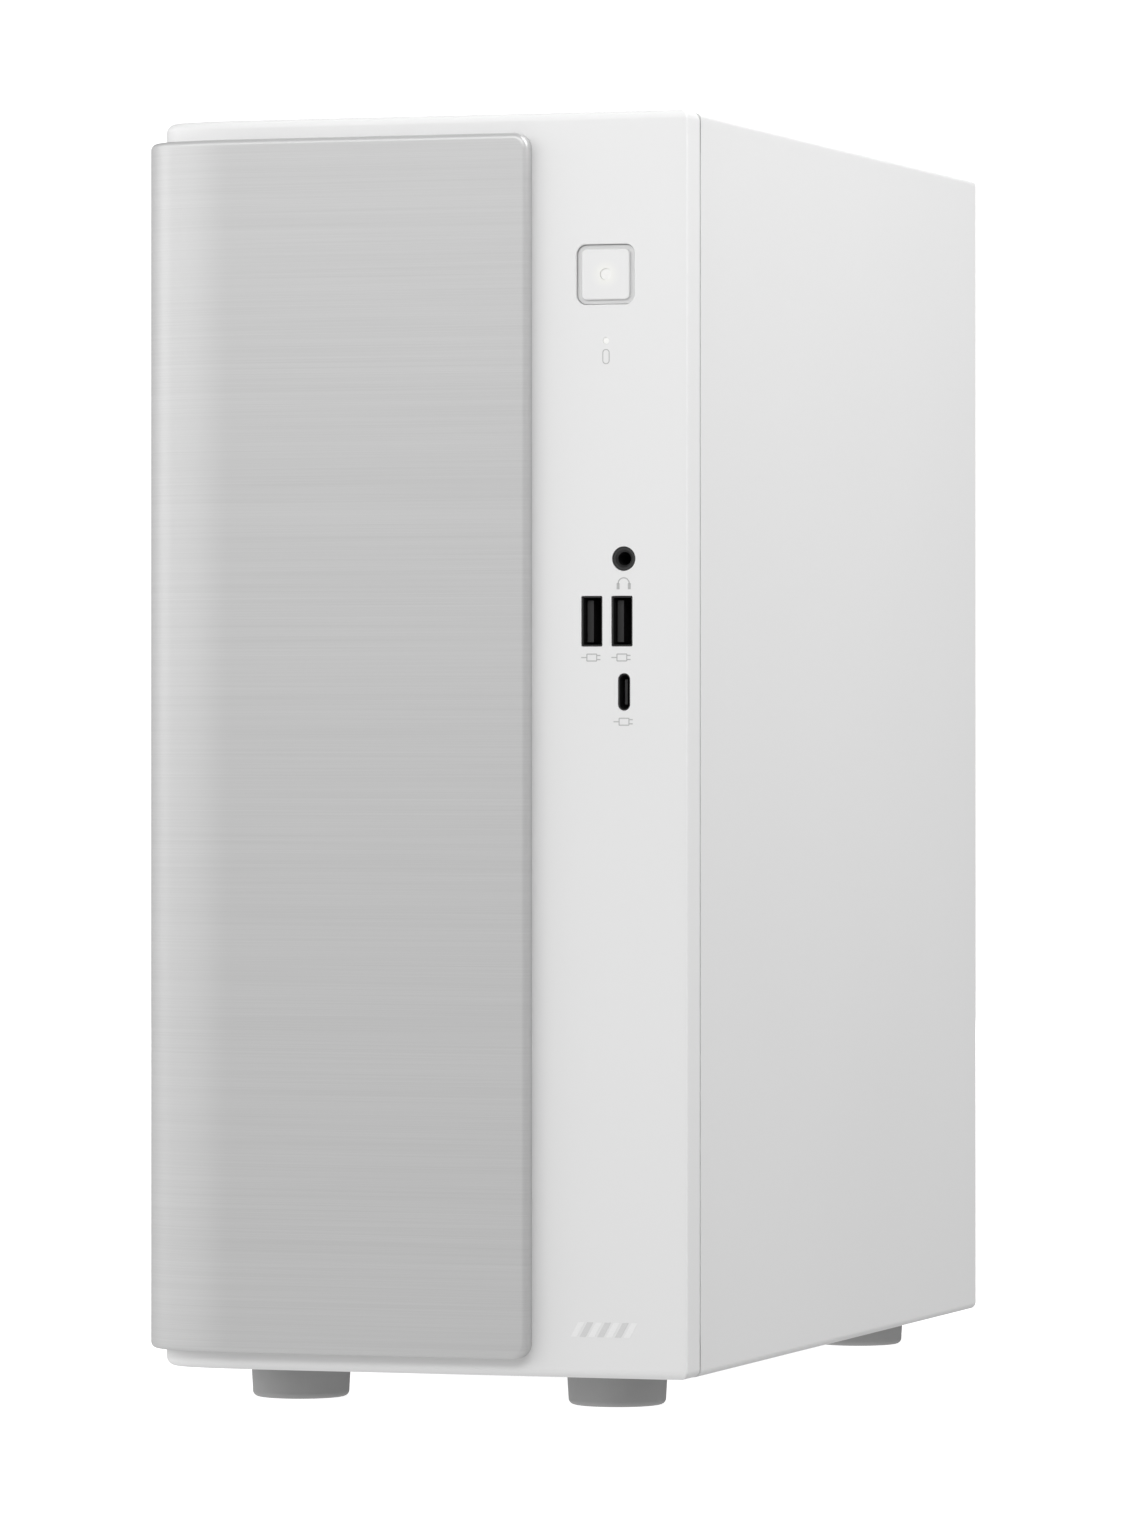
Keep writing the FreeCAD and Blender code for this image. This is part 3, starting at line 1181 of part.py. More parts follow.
def power_cables():
    """Board, processor and drive supply leads, with their plugs."""
    board_plug = box(34.0, 46.0, ATX_PLUG[0] - 4.8, ATX_PLUG[0] + 4.8, ATX_PLUG[1] - 25.8, ATX_PLUG[1] + 25.8)
    cpu_plug = box(34.0, 46.0, CPU_PLUG[0] - 4.8, CPU_PLUG[0] + 4.8, CPU_PLUG[1] - 4.8, CPU_PLUG[1] + 4.8)
    drive_plug = box(-16, 5, 171.2, 180.0, DRIVE_Z + 3.2, DRIVE_Z + 6.0)
    board_lead = routed_cable("board lead", (
        (30, 189.6, 284), (30, 168, 284), (27, 132, 277), (20, 96, 268), (10, 66, 246),
        (5, 52, 214), (8, 49.8, 186), (22, 49.8, 172), (34, 49.8, 176)), 4.6)
    cpu_lead = routed_cable("processor lead", (
        (44, 189.6, 284), (44, 178, 284), (44, 168, 275), (40, 176, 264), (30, 196, 262),
        (24, 222, 266), (22, 244, 264), (26, 251, 256), (34, 251, 255)), 2.6)
    drive_lead = routed_cable("drive supply lead", (
        (38, 189.6, 287), (38, 184.5, 288), (30, 183.5, 292), (14, 184, 300), (-2, 184, 303.5),
        (-6, 180, 302.5)), 1.8)
    return [board_plug, cpu_plug, drive_plug, board_lead, cpu_lead, drive_lead]


def data_cables():
    """Drive data lead and front panel lead, with their plugs."""
    drive_plug = box(-34, -20, 171.2, 180.0, DRIVE_Z + 3.2, DRIVE_Z + 6.0)
    y, z = SATA_PLUG
    board_plug = box(38.0, 50.0, y - 6, y + 6, z - 3.2, z + 3.2)
    header_plug = box(42.0, 50.5, FRONT_HEADER[0] - 2.6, FRONT_HEADER[0] + 2.6,
                      FRONT_HEADER[1] - 12, FRONT_HEADER[1] + 12)
    drive_lead = routed_cable("drive data lead", (
        (-27, 180, 302.5), (-27, 184.5, 298), (-27, 183, 284), (-27, 164, 250), (-25, 140, 212),
        (-20, 112, 172), (-8, 84, 134), (8, 62, 100), (24, 54, 82), (38, 52, 79)), 1.8)
    panel_lead = routed_cable("front panel lead", (
        (52, 17.1, 204), (52, 32, 204), (51, 34, 182), (47, 33, 150), (42, 34, 116), (36, 42, 84),
        (28, 54, 58), (30, 60, 40), (42, 60, 40)), 2.2)
    return [drive_plug, board_plug, header_plug, drive_lead, panel_lead]


def main():
    os.makedirs("parts", exist_ok=True)
    save("front_bezel", front_bezel())
    save("front_plate", front_plate())
    save("power_button", power_button())
    save("power_button_lens", power_button_lens())
    save("power_switch", power_switch())
    save("drive_light_guide", drive_light_guide())
    save("front_io_board", front_io_board())
    save("headset_jack", headset_jack())
    for side, centre in zip(("left", "right"), USB_A_CENTRES):
        save("usb_a_port_%s" % side, usb_a_port(centre))
    save("usb_c_port", usb_c_port())
    save("chassis_top", chassis_top())
    save("chassis_floor", chassis_floor())
    save("chassis_front", chassis_front())
    save("chassis_rear", chassis_rear())
    save("motherboard_tray", motherboard_tray())
    save("right_side_panel", right_side_panel())
    save("left_side_panel", left_side_panel())
    for name, z in THUMBSCREW_Z.items():
        save("thumbscrew_%s" % name, thumbscrew(z))
    for name, (x, y) in foot_places().items():
        save("foot_%s" % name, foot(x, y))
    save("slot_covers", slot_covers())
    save("slot_retainer", slot_retainer())
    save("retainer_hinge", retainer_hinge())
    save("io_shield", io_shield())
    save("rear_sockets", rear_usb_ports() + rear_video_ports() + [rear_network_port()])
    save("rear_audio_jacks", rear_audio_jacks())
    save("motherboard", motherboard())
    save("standoffs", standoffs())
    save("cpu_socket", cpu_socket())
    save("processor", processor())
    save("cpu_heatsink", cpu_heatsink())
    save("cpu_fan_frame", cpu_fan_frame())
    save("cpu_fan_rotor", cpu_fan_rotor())
    save("rear_fan_frame", rear_fan_frame())
    save("rear_fan_rotor", rear_fan_rotor())
    save("memory_sockets", memory_sockets())
    save("memory_modules", memory_modules())
    for side, y in zip(("front", "rear"), MEMORY_Y):
        save("memory_latch_%s" % side, memory_latch(y))
    save("solid_state_drive", solid_state_drive())
    save("wireless_card", wireless_card())
    save("chipset_heatsink", chipset_heatsink())
    save("vrm_heatsink", vrm_heatsink())
    save("expansion_sockets", expansion_sockets())
    save("coin_cell", coin_cell())
    save("board_connectors", board_connectors())
    save("psu_case", psu_case())
    save("psu_fan_frame", psu_fan_frame())
    save("psu_fan_rotor", psu_fan_rotor())
    save("psu_board", psu_board())
    save("ac_inlet", ac_inlet())
    save("hard_drive", hard_drive())
    save("drive_cage", drive_cage())
    save("case_screws", case_screws())
    save("power_cables", power_cables())
    save("data_cables", data_cables())


main()
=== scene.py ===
"""Looks for the desktop computer tower: materials, glyphs, light and camera round the CAD frame."""
import math

import bmesh
import bpy
import numpy as np
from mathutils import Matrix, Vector


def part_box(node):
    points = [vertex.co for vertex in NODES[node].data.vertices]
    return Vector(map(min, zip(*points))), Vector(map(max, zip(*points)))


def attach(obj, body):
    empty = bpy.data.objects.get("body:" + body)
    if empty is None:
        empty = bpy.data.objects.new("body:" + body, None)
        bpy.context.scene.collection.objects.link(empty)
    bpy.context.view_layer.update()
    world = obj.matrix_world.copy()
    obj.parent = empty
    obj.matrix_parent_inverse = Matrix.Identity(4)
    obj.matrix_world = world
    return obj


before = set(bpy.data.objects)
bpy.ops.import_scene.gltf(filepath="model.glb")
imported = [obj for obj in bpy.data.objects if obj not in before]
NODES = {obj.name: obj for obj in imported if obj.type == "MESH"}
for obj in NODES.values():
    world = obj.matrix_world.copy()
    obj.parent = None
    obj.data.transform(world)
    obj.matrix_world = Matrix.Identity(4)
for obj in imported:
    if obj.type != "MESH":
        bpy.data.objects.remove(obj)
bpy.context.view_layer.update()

MM = 0.001

# Places on the front, in mm from the middle of the case, the bezel's face and the ground.
BEZEL_LOW, BEZEL_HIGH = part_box("front_bezel")
CASE_MIDDLE = (BEZEL_LOW.x + BEZEL_HIGH.x) / 2
FACE_Y = BEZEL_LOW.y


def middle_of(node):
    low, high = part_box(node)
    return (low + high) / 2


BUTTON_LOW, BUTTON_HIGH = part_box("power_button")
BUTTON_CENTRE = Vector(((BUTTON_LOW.x + BUTTON_HIGH.x) / 2, BUTTON_LOW.y,
                        (BUTTON_LOW.z + BUTTON_HIGH.z) / 2))


# ---------------------------------------------------------------- materials
WHITE = 0.765
WHITE_SHADE = 0.985
MOULDED_GRAIN = 2600.0
PLATE_GREY, PLATE_LINE_DARK, PLATE_LINE_LIGHT = 0.543, 0.516, 0.570
FINE_LINE_STRETCH, BROAD_LINE_STRETCH = (9.0, 9.0, 4200.0), (4.0, 4.0, 650.0)
FINE_LINE_SHARE, BROAD_LINE_SHARE = 0.8, 0.2
BUTTON_GUIDE_GLOW, DRIVE_GUIDE_GLOW, SPOT_GLOW = 0.05, 0.09, 0.05
# The button's warm spot fades out between these radii: emission, and a painted lighter patch in its colour.
SPOT_INNER, SPOT_OUTER = 0.6 * MM, 4.4 * MM
# The button's groove is greyed between these depths behind its face: painted shade in the recess.
GROOVE_START, GROOVE_END, GROOVE_PAINTED_SHADE = 0.35 * MM, 0.75 * MM, 0.84
# Faces that meet at less than this angle share their normals; corners nearer than 0.1 um are one.
SMOOTH_ANGLE = math.radians(35.0)
PLACE_DECIMALS = 7
LEAST_AREA = 1e-14


def grey(level):
    return (level, level, level, 1.0)


def maths_node(tree, operation, first, second):
    """A Math node in the tree; each of its two values is a number or another node's output."""
    node = tree.nodes.new("ShaderNodeMath")
    node.operation = operation
    for socket, value in zip(node.inputs, (first, second)):
        if hasattr(value, "is_output"):
            tree.links.new(value, socket)
        else:
            socket.default_value = value
    return node.outputs["Value"]


class Material:
    """A Principled material with small helpers for its node tree."""

    def __init__(self, name, colour, roughness, metallic=0.0, **sockets):
        self.data = bpy.data.materials.new(name)
        self.data.use_nodes = True
        self.nodes = self.data.node_tree.nodes
        self.links = self.data.node_tree.links
        self.shader = self.nodes["Principled BSDF"]
        self.shader.inputs["Base Color"].default_value = colour
        self.shader.inputs["Roughness"].default_value = roughness
        self.shader.inputs["Metallic"].default_value = metallic
        for socket, value in sockets.items():
            self.shader.inputs[socket.replace("_", " ")].default_value = value
        self.place = self.nodes.new("ShaderNodeTexCoord").outputs["Object"]

    def stretched(self, scale):
        mapping = self.nodes.new("ShaderNodeMapping")
        mapping.inputs["Scale"].default_value = scale
        self.links.new(self.place, mapping.inputs["Vector"])
        return mapping.outputs["Vector"]

    def noise(self, scale, detail=2.0, stretch=(1, 1, 1), roughness=0.5):
        node = self.nodes.new("ShaderNodeTexNoise")
        node.inputs["Scale"].default_value = scale
        node.inputs["Detail"].default_value = detail
        node.inputs["Roughness"].default_value = roughness
        self.links.new(self.stretched(stretch), node.inputs["Vector"])
        return node.outputs["Fac"]

    def spread(self, value, low, high, from_low=0.0, from_high=1.0):
        node = self.nodes.new("ShaderNodeMapRange")
        node.inputs["From Min"].default_value = from_low
        node.inputs["From Max"].default_value = from_high
        node.inputs["To Min"].default_value = low
        node.inputs["To Max"].default_value = high
        self.links.new(value, node.inputs["Value"])
        return node.outputs["Result"]

    def blend(self, factor, first, second):
        node = self.nodes.new("ShaderNodeMix")
        node.data_type = "RGBA"
        self.links.new(factor, node.inputs[0])
        for socket, colour in ((node.inputs[6], first), (node.inputs[7], second)):
            if hasattr(colour, "is_output"):
                self.links.new(colour, socket)
            else:
                socket.default_value = colour
        return node.outputs[2]

    def colour(self, value):
        self.links.new(value, self.shader.inputs["Base Color"])

    def rough(self, value):
        self.links.new(value, self.shader.inputs["Roughness"])

    def bump(self, height, distance, strength):
        node = self.nodes.new("ShaderNodeBump")
        node.inputs["Distance"].default_value = distance
        node.inputs["Strength"].default_value = strength
        self.links.new(height, node.inputs["Height"])
        self.links.new(node.outputs["Normal"], self.shader.inputs["Normal"])

    def maths(self, operation, first, second):
        return maths_node(self.data.node_tree, operation, first, second)


def white_plastic(name, level=WHITE):
    """Fine spark-eroded white ABS: a soft sheen broken by a very fine grain."""
    made = Material(name, grey(level), 0.46, IOR=1.46)
    slow = made.noise(9.0, 2.0)
    made.colour(made.blend(made.spread(slow, 0.0, 1.0, 0.3, 0.7), grey(level * WHITE_SHADE), grey(level)))
    grain = made.noise(MOULDED_GRAIN, 2.0)
    made.rough(made.spread(grain, 0.42, 0.52))
    made.bump(grain, 0.00002, 0.35)
    return made.data


def white_paint(name, level=WHITE):
    """Powder-coated white sheet steel: smooth, with a slight orange peel."""
    made = Material(name, grey(level), 0.40, IOR=1.48)
    slow = made.noise(6.0, 2.0)
    made.colour(made.blend(made.spread(slow, 0.0, 1.0, 0.3, 0.7), grey(level * WHITE_SHADE), grey(level)))
    peel = made.noise(700.0, 2.0)
    made.rough(made.spread(peel, 0.37, 0.45))
    made.bump(peel, 0.00003, 0.25)
    return made.data


def brushed_silver(name):
    """Silver front plate with fine level brush lines that follow it round the corner."""
    made = Material(name, grey(PLATE_GREY), 0.42, 0.35, IOR=1.5)
    fine = made.noise(1.0, 4.0, FINE_LINE_STRETCH, 0.7)
    broad = made.noise(1.0, 3.0, BROAD_LINE_STRETCH, 0.6)
    lines = made.maths("ADD", made.maths("MULTIPLY", fine, FINE_LINE_SHARE),
                       made.maths("MULTIPLY", broad, BROAD_LINE_SHARE))
    tone = made.spread(lines, 0.0, 1.0, 0.35, 0.65)
    made.colour(made.blend(tone, grey(PLATE_LINE_DARK), grey(PLATE_LINE_LIGHT)))
    made.rough(made.spread(fine, 0.38, 0.47, 0.3, 0.7))
    made.bump(fine, 0.00001, 0.5)
    return made.data


def rubber(name, level=0.36):
    made = Material(name, grey(level), 0.72)
    grain = made.noise(1400.0, 3.0)
    slow = made.noise(60.0, 3.0)
    made.colour(made.blend(slow, grey(level * 0.85), grey(level * 1.12)))
    made.bump(grain, 0.00006, 0.5)
    return made.data


def black_plastic(name, level=0.018, roughness=0.45):
    made = Material(name, grey(level), roughness)
    grain = made.noise(1800.0, 2.0)
    slow = made.noise(40.0, 3.0)
    made.colour(made.blend(slow, grey(level * 0.7), grey(level * 1.4)))
    made.rough(made.spread(grain, roughness - 0.08, roughness + 0.1))
    made.bump(grain, 0.00004, 0.4)
    return made.data


def galvanised(name, level=0.60, roughness=0.42):
    """Bare zinc-coated sheet: faint crystal patches and rolling marks."""
    made = Material(name, grey(level), roughness, 0.6)
    cells = made.nodes.new("ShaderNodeTexVoronoi")
    cells.inputs["Scale"].default_value = 160.0
    made.links.new(made.stretched((1, 1, 0.7)), cells.inputs["Vector"])
    tone = made.spread(cells.outputs["Distance"], 0.0, 1.0, 0.0, 0.9)
    made.colour(made.blend(tone, grey(level * 0.94), grey(level * 1.05)))
    rolled = made.noise(1.0, 2.0, (40.0, 40.0, 1400.0))
    made.rough(made.spread(rolled, roughness - 0.07, roughness + 0.12, 0.3, 0.7))
    made.bump(rolled, 0.00002, 0.3)
    return made.data


def plated(name, colour, roughness):
    """Nickel or zinc plate, with a light mottle."""
    made = Material(name, colour, roughness, 0.85)
    mottle = made.noise(320.0, 3.0)
    dark = tuple(channel * 0.94 for channel in colour[:3]) + (1.0,)
    made.colour(made.blend(mottle, dark, colour))
    made.rough(made.spread(mottle, roughness - 0.02, roughness + 0.04, 0.3, 0.7))
    made.bump(mottle, 0.000004, 0.2)
    return made.data


def aluminium(name, level=0.68):
    made = Material(name, grey(level), 0.33, 1.0)
    drawn = made.noise(1.0, 3.0, (30.0, 900.0, 900.0))
    made.colour(made.blend(drawn, grey(level * 0.84), grey(level * 1.08)))
    made.rough(made.spread(drawn, 0.26, 0.44, 0.3, 0.7))
    made.bump(drawn, 0.00002, 0.4)
    return made.data


def circuit_board(name, mask, copper):
    """Solder mask over copper tracks and plated through holes."""
    made = Material(name, mask, 0.32, IOR=1.5)
    tracks = made.nodes.new("ShaderNodeTexBrick")
    tracks.inputs["Scale"].default_value = 130.0
    tracks.inputs["Mortar Size"].default_value = 0.06
    tracks.inputs["Color1"].default_value = grey(0.0)
    tracks.inputs["Color2"].default_value = grey(0.25)
    tracks.inputs["Mortar"].default_value = grey(1.0)
    swap = made.nodes.new("ShaderNodeVectorRotate")
    swap.rotation_type = "Y_AXIS"
    swap.inputs["Angle"].default_value = math.pi / 2
    made.links.new(made.place, swap.inputs["Vector"])
    made.links.new(swap.outputs["Vector"], tracks.inputs["Vector"])
    pads = made.nodes.new("ShaderNodeTexVoronoi")
    pads.inputs["Scale"].default_value = 330.0
    made.links.new(made.place, pads.inputs["Vector"])
    dots = made.spread(pads.outputs["Distance"], 1.0, 0.0, 0.12, 0.16)
    light = made.blend(tracks.outputs["Fac"], mask, tuple(c * 1.8 for c in mask[:3]) + (1.0,))
    made.colour(made.blend(dots, light, copper))
    fibre = made.noise(1500.0, 2.0)
    made.rough(made.spread(fibre, 0.26, 0.42))
    made.bump(fibre, 0.00003, 0.3)
    return made.data


def sleeved_cable(name, colour):
    made = Material(name, colour, 0.6)
    weave = made.nodes.new("ShaderNodeTexWave")
    weave.inputs["Scale"].default_value = 260.0
    weave.inputs["Distortion"].default_value = 1.5
    made.links.new(made.place, weave.inputs["Vector"])
    dark = tuple(channel * 0.45 for channel in colour[:3]) + (1.0,)
    made.colour(made.blend(weave.outputs["Fac"], dark, colour))
    made.rough(made.spread(weave.outputs["Fac"], 0.5, 0.7))
    made.bump(weave.outputs["Fac"], 0.0002, 0.6)
    return made.data


def light_guide(name, glow):
    made = Material(name, grey(0.80), 0.35)
    haze = made.noise(900.0, 2.0)
    made.rough(made.spread(haze, 0.3, 0.45))
    made.colour(made.blend(haze, (0.76, 0.76, 0.75, 1.0), (0.83, 0.83, 0.82, 1.0)))
    made.shader.inputs["Emission Color"].default_value = (1.0, 0.97, 0.88, 1.0)
    made.shader.inputs["Emission Strength"].default_value = glow
    return made.data


def lit_button(name, centre, level=WHITE):
    """White button lit by its LED as a warm spot, whose base colour is also painted lighter and warmer
    there, with painted shade greying the groove round it.
    """
    made = Material(name, grey(level), 0.44, IOR=1.46)
    grain = made.noise(MOULDED_GRAIN, 2.0)
    made.rough(made.spread(grain, 0.40, 0.50))
    made.bump(grain, 0.00002, 0.3)
    away = made.nodes.new("ShaderNodeVectorMath")
    away.operation = "DISTANCE"
    away.inputs[1].default_value = centre
    made.links.new(made.place, away.inputs[0])
    spot = made.spread(away.outputs["Value"], 1.0, 0.0, SPOT_INNER, SPOT_OUTER)
    soft = made.maths("POWER", spot, 1.4)
    split = made.nodes.new("ShaderNodeSeparateXYZ")
    made.links.new(made.place, split.inputs["Vector"])
    # Painted shade: the groove behind the button's face is greyed by how deep it lies.
    groove_painted_shade = made.spread(split.outputs["Y"], 0.0, 1.0, centre.y + GROOVE_START, centre.y + GROOVE_END)
    # Painted glow: the base colour is made lighter and warmer at the spot, on top of the LED's emission
    # there.
    face = made.blend(soft, grey(level), (0.80, 0.80, 0.765, 1.0))
    made.colour(made.blend(groove_painted_shade, face, grey(level * GROOVE_PAINTED_SHADE)))
    made.shader.inputs["Emission Color"].default_value = (1.0, 0.98, 0.88, 1.0)
    made.links.new(made.maths("MULTIPLY", soft, SPOT_GLOW), made.shader.inputs["Emission Strength"])
    return made.data


def printed(name, colour):
    made = Material(name, colour, 0.5)
    speckle = made.noise(2200.0, 2.0)
    dark = tuple(channel * 0.93 for channel in colour[:3]) + (1.0,)
    made.colour(made.blend(speckle, dark, colour))
    made.rough(made.spread(speckle, 0.42, 0.58))
    return made.data


def dress(material, *names):
    for name in names:
        mesh = NODES[name].data
        mesh.materials.clear()
        mesh.materials.append(material)


def soften(name):
    """Smooth normals where faces meet gently, weighted by area so that flats stay flat."""
    mesh = NODES[name].data
    for polygon in mesh.polygons:
        polygon.use_smooth = True
    normals = np.empty(len(mesh.polygons) * 3)
    areas = np.empty(len(mesh.polygons))
    sizes = np.empty(len(mesh.polygons), int)
    places = np.empty(len(mesh.vertices) * 3)
    corners = np.empty(len(mesh.loops), int)
    mesh.polygons.foreach_get("normal", normals)
    mesh.polygons.foreach_get("area", areas)
    mesh.polygons.foreach_get("loop_total", sizes)
    mesh.vertices.foreach_get("co", places)
    mesh.loops.foreach_get("vertex_index", corners)
    normals = normals.reshape(-1, 3)
    areas = areas + LEAST_AREA
    owner = np.repeat(np.arange(len(sizes)), sizes)
    rounded = np.round(places.reshape(-1, 3), PLACE_DECIMALS)
    spots = np.unique(rounded, axis=0, return_inverse=True)[1].reshape(-1)
    order = np.argsort(spots[corners], kind="stable")
    starts = np.flatnonzero(np.diff(spots[corners][order], prepend=-1))
    least = math.cos(SMOOTH_ANGLE)
    result = np.empty((len(corners), 3))
    for group in np.split(order, starts[1:]):
        facing = normals[owner[group]]
        share = (facing @ facing.T >= least) * areas[owner[group]]
        result[group] = share @ facing
    result /= np.linalg.norm(result, axis=1, keepdims=True) + 1e-20
    mesh.normals_split_custom_set(result.tolist())


def dress_all():
    plastic = white_plastic("white_plastic")
    paint = white_paint("white_paint")
    black = black_plastic("black_moulded")
    steel = galvanised("galvanised_sheet")
    bright = plated("bright_plate", (0.66, 0.66, 0.67, 1.0), 0.38)
    silver = aluminium("bare_aluminium")
    green = circuit_board("green_board", (0.012, 0.11, 0.045, 1.0), (0.75, 0.62, 0.25, 1.0))
    dark = circuit_board("dark_board", (0.012, 0.013, 0.016, 1.0), (0.62, 0.60, 0.55, 1.0))
    dress(plastic, "front_bezel")
    dress(brushed_silver("brushed_plate"), "front_plate")
    dress(lit_button("lit_button", BUTTON_CENTRE), "power_button")
    dress(light_guide("button_guide", BUTTON_GUIDE_GLOW), "power_button_lens")
    dress(light_guide("drive_guide", DRIVE_GUIDE_GLOW), "drive_light_guide")
    dress(green, "power_switch", "front_io_board", "memory_modules", "psu_board")
    dress(dark, "motherboard", "solid_state_drive", "wireless_card")
    dress(black_plastic("socket_black", 0.016, 0.42), "headset_jack", "usb_a_port_left", "usb_a_port_right",
          "usb_c_port")
    dress(black, "rear_audio_jacks", "cpu_fan_frame", "cpu_fan_rotor", "rear_fan_frame", "rear_fan_rotor",
          "memory_sockets", "expansion_sockets", "board_connectors", "psu_fan_frame", "psu_fan_rotor",
          "ac_inlet")
    dress(black_plastic("latch_grey", 0.25, 0.5), "memory_latch_front", "memory_latch_rear")
    dress(paint, "chassis_top", "right_side_panel", "left_side_panel")
    dress(steel, "chassis_floor", "chassis_front", "chassis_rear", "motherboard_tray", "slot_covers",
          "slot_retainer", "psu_case", "drive_cage")
    dress(plated("screw_plate", (0.55, 0.55, 0.56, 1.0), 0.32), "thumbscrew_lower", "thumbscrew_upper",
          "retainer_hinge", "case_screws")
    dress(rubber("foot_rubber"), "foot_front_left", "foot_front_right", "foot_rear_left", "foot_rear_right")
    dress(bright, "io_shield", "rear_sockets", "cpu_socket", "processor", "coin_cell")
    dress(plated("brass", (0.70, 0.52, 0.22, 1.0), 0.3), "standoffs")
    dress(silver, "cpu_heatsink", "chipset_heatsink", "vrm_heatsink", "hard_drive")
    dress(sleeved_cable("black_leads", (0.02, 0.02, 0.02, 1.0)), "power_cables")
    dress(sleeved_cable("red_leads", (0.32, 0.03, 0.03, 1.0)), "data_cables")
    for name in NODES:
        soften(name)


# ---------------------------------------------------------------- printed glyphs
CORNER_STEPS, ARC_STEPS = 6, 12
LEAST_CORNER = 0.02
INK_THICKNESS, FOIL_THICKNESS = 0.03 * MM, 0.05 * MM
HEADSET_GLYPH_DROP, DRIVE_GLYPH_DROP, PLUG_GLYPH_DROP = 6.6, 4.2, 3.0


def thin_piece(name, outlines, thickness, material, body="chassis"):
    """Flat closed outlines in the front plane, given in mm, raised a little off the bezel's face."""
    mesh = bpy.data.meshes.new(name)
    work = bmesh.new()
    for ring in outlines:
        faces = []
        for points in ring:
            faces.append([work.verts.new((CASE_MIDDLE + x * MM, FACE_Y, z * MM)) for x, z in points])
        outer = faces[0]
        if len(faces) == 1:
            work.faces.new(outer)
            continue
        inner = faces[1]
        count = len(outer)
        for index in range(count):
            following = (index + 1) % count
            work.faces.new((outer[index], outer[following], inner[following], inner[index]))
    bmesh.ops.recalc_face_normals(work, faces=work.faces)
    for face in list(work.faces):
        if face.normal.y > 0:
            face.normal_flip()
    raised = bmesh.ops.extrude_face_region(work, geom=list(work.faces))
    moved = [item for item in raised["geom"] if isinstance(item, bmesh.types.BMVert)]
    bmesh.ops.translate(work, verts=moved, vec=(0, -thickness, 0))
    bmesh.ops.recalc_face_normals(work, faces=work.faces)
    work.to_mesh(mesh)
    work.free()
    mesh.materials.append(material)
    piece = bpy.data.objects.new(name, mesh)
    bpy.context.scene.collection.objects.link(piece)
    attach(piece, body)


def rounded_rectangle(x, z, half_width, half_height, radius):
    """A rounded rectangle's points, in mm."""
    points = []
    for corner, (sx, sz) in enumerate(((1, 1), (-1, 1), (-1, -1), (1, -1))):
        cx = x + sx * (half_width - radius)
        cz = z + sz * (half_height - radius)
        for step in range(CORNER_STEPS + 1):
            angle = math.pi / 2 * (corner + step / CORNER_STEPS)
            points.append((cx + radius * math.cos(angle), cz + radius * math.sin(angle)))
    return points


def frame_of(x, z, half_width, half_height, radius, line):
    inner_radius = max(radius - line, LEAST_CORNER)
    return [rounded_rectangle(x, z, half_width, half_height, radius),
            rounded_rectangle(x, z, half_width - line, half_height - line, inner_radius)]


def bar(x0, x1, z0, z1):
    return [[(x0, z0), (x1, z0), (x1, z1), (x0, z1)]]


def arc_band(x, z, radius, line, start, end):
    angles = [math.radians(start + (end - start) * step / ARC_STEPS) for step in range(ARC_STEPS + 1)]
    outer = [(x + radius * math.cos(a), z + radius * math.sin(a)) for a in angles]
    inner = [(x + (radius - line) * math.cos(a), z + (radius - line) * math.sin(a)) for a in angles]
    return [outer + inner[::-1]]


def make_glyphs():
    ink = printed("glyph_ink", grey(0.46))
    jack = middle_of("headset_jack")
    jack_x = (jack.x - CASE_MIDDLE) / MM
    head_z = jack.z / MM - HEADSET_GLYPH_DROP
    light = middle_of("drive_light_guide")
    light_x = (light.x - CASE_MIDDLE) / MM
    drive_z = light.z / MM - DRIVE_GLYPH_DROP
    drive_outline = frame_of(light_x, drive_z, 1.0, 2.0, 0.95, 0.25)
    thin_piece("drive_glyph", [drive_outline], INK_THICKNESS, ink)
    thin_piece("headset_glyph", [arc_band(jack_x, head_z, 1.7, 0.32, 0, 180),
                                 bar(jack_x - 1.95, jack_x - 1.15, head_z - 1.5, head_z + 0.1),
                                 bar(jack_x + 1.15, jack_x + 1.95, head_z - 1.5, head_z + 0.1)],
               INK_THICKNESS, ink)
    for name in ("usb_a_port_left", "usb_a_port_right", "usb_c_port"):
        low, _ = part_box(name)
        centre = middle_of(name)
        x = (centre.x - CASE_MIDDLE) / MM
        z = low.z / MM - PLUG_GLYPH_DROP
        thin_piece("plug_glyph_" + name, [frame_of(x, z, 1.5, 1.05, 0.25, 0.28),
                                          bar(x - 2.9, x - 1.5, z - 0.15, z + 0.15),
                                          bar(x + 1.5, x + 2.4, z - 0.7, z - 0.4),
                                          bar(x + 1.5, x + 2.4, z + 0.4, z + 0.7)], INK_THICKNESS, ink)


def slanted(x, z, width, height):
    """A leaning bar: its lower left corner, width and height, in mm."""
    lean = MARK_SLOPE * height
    return [[(x, z), (x + width, z), (x + width + lean, z + height), (x + lean, z + height)]]


MARK_LEFT, MARK_LOW = 43.2, 20.0
MARK_BAR, MARK_HEIGHT = 1.7, 3.9
MARK_PITCH, MARK_BARS = 2.45, 7
MARK_SLOPE = 0.55


def make_mark():
    """A plain badge: seven short leaning bars of foil side by side, pale ones and grey ones in turn."""
    bars = [slanted(MARK_LEFT + index * MARK_PITCH, MARK_LOW, MARK_BAR, MARK_HEIGHT)
            for index in range(MARK_BARS)]
    thin_piece("generic_mark_pale_bars", bars[0::2], FOIL_THICKNESS, printed("mark_white", grey(0.85)))
    thin_piece("generic_mark_grey_bars", bars[1::2], FOIL_THICKNESS, printed("mark_grey", grey(0.67)))


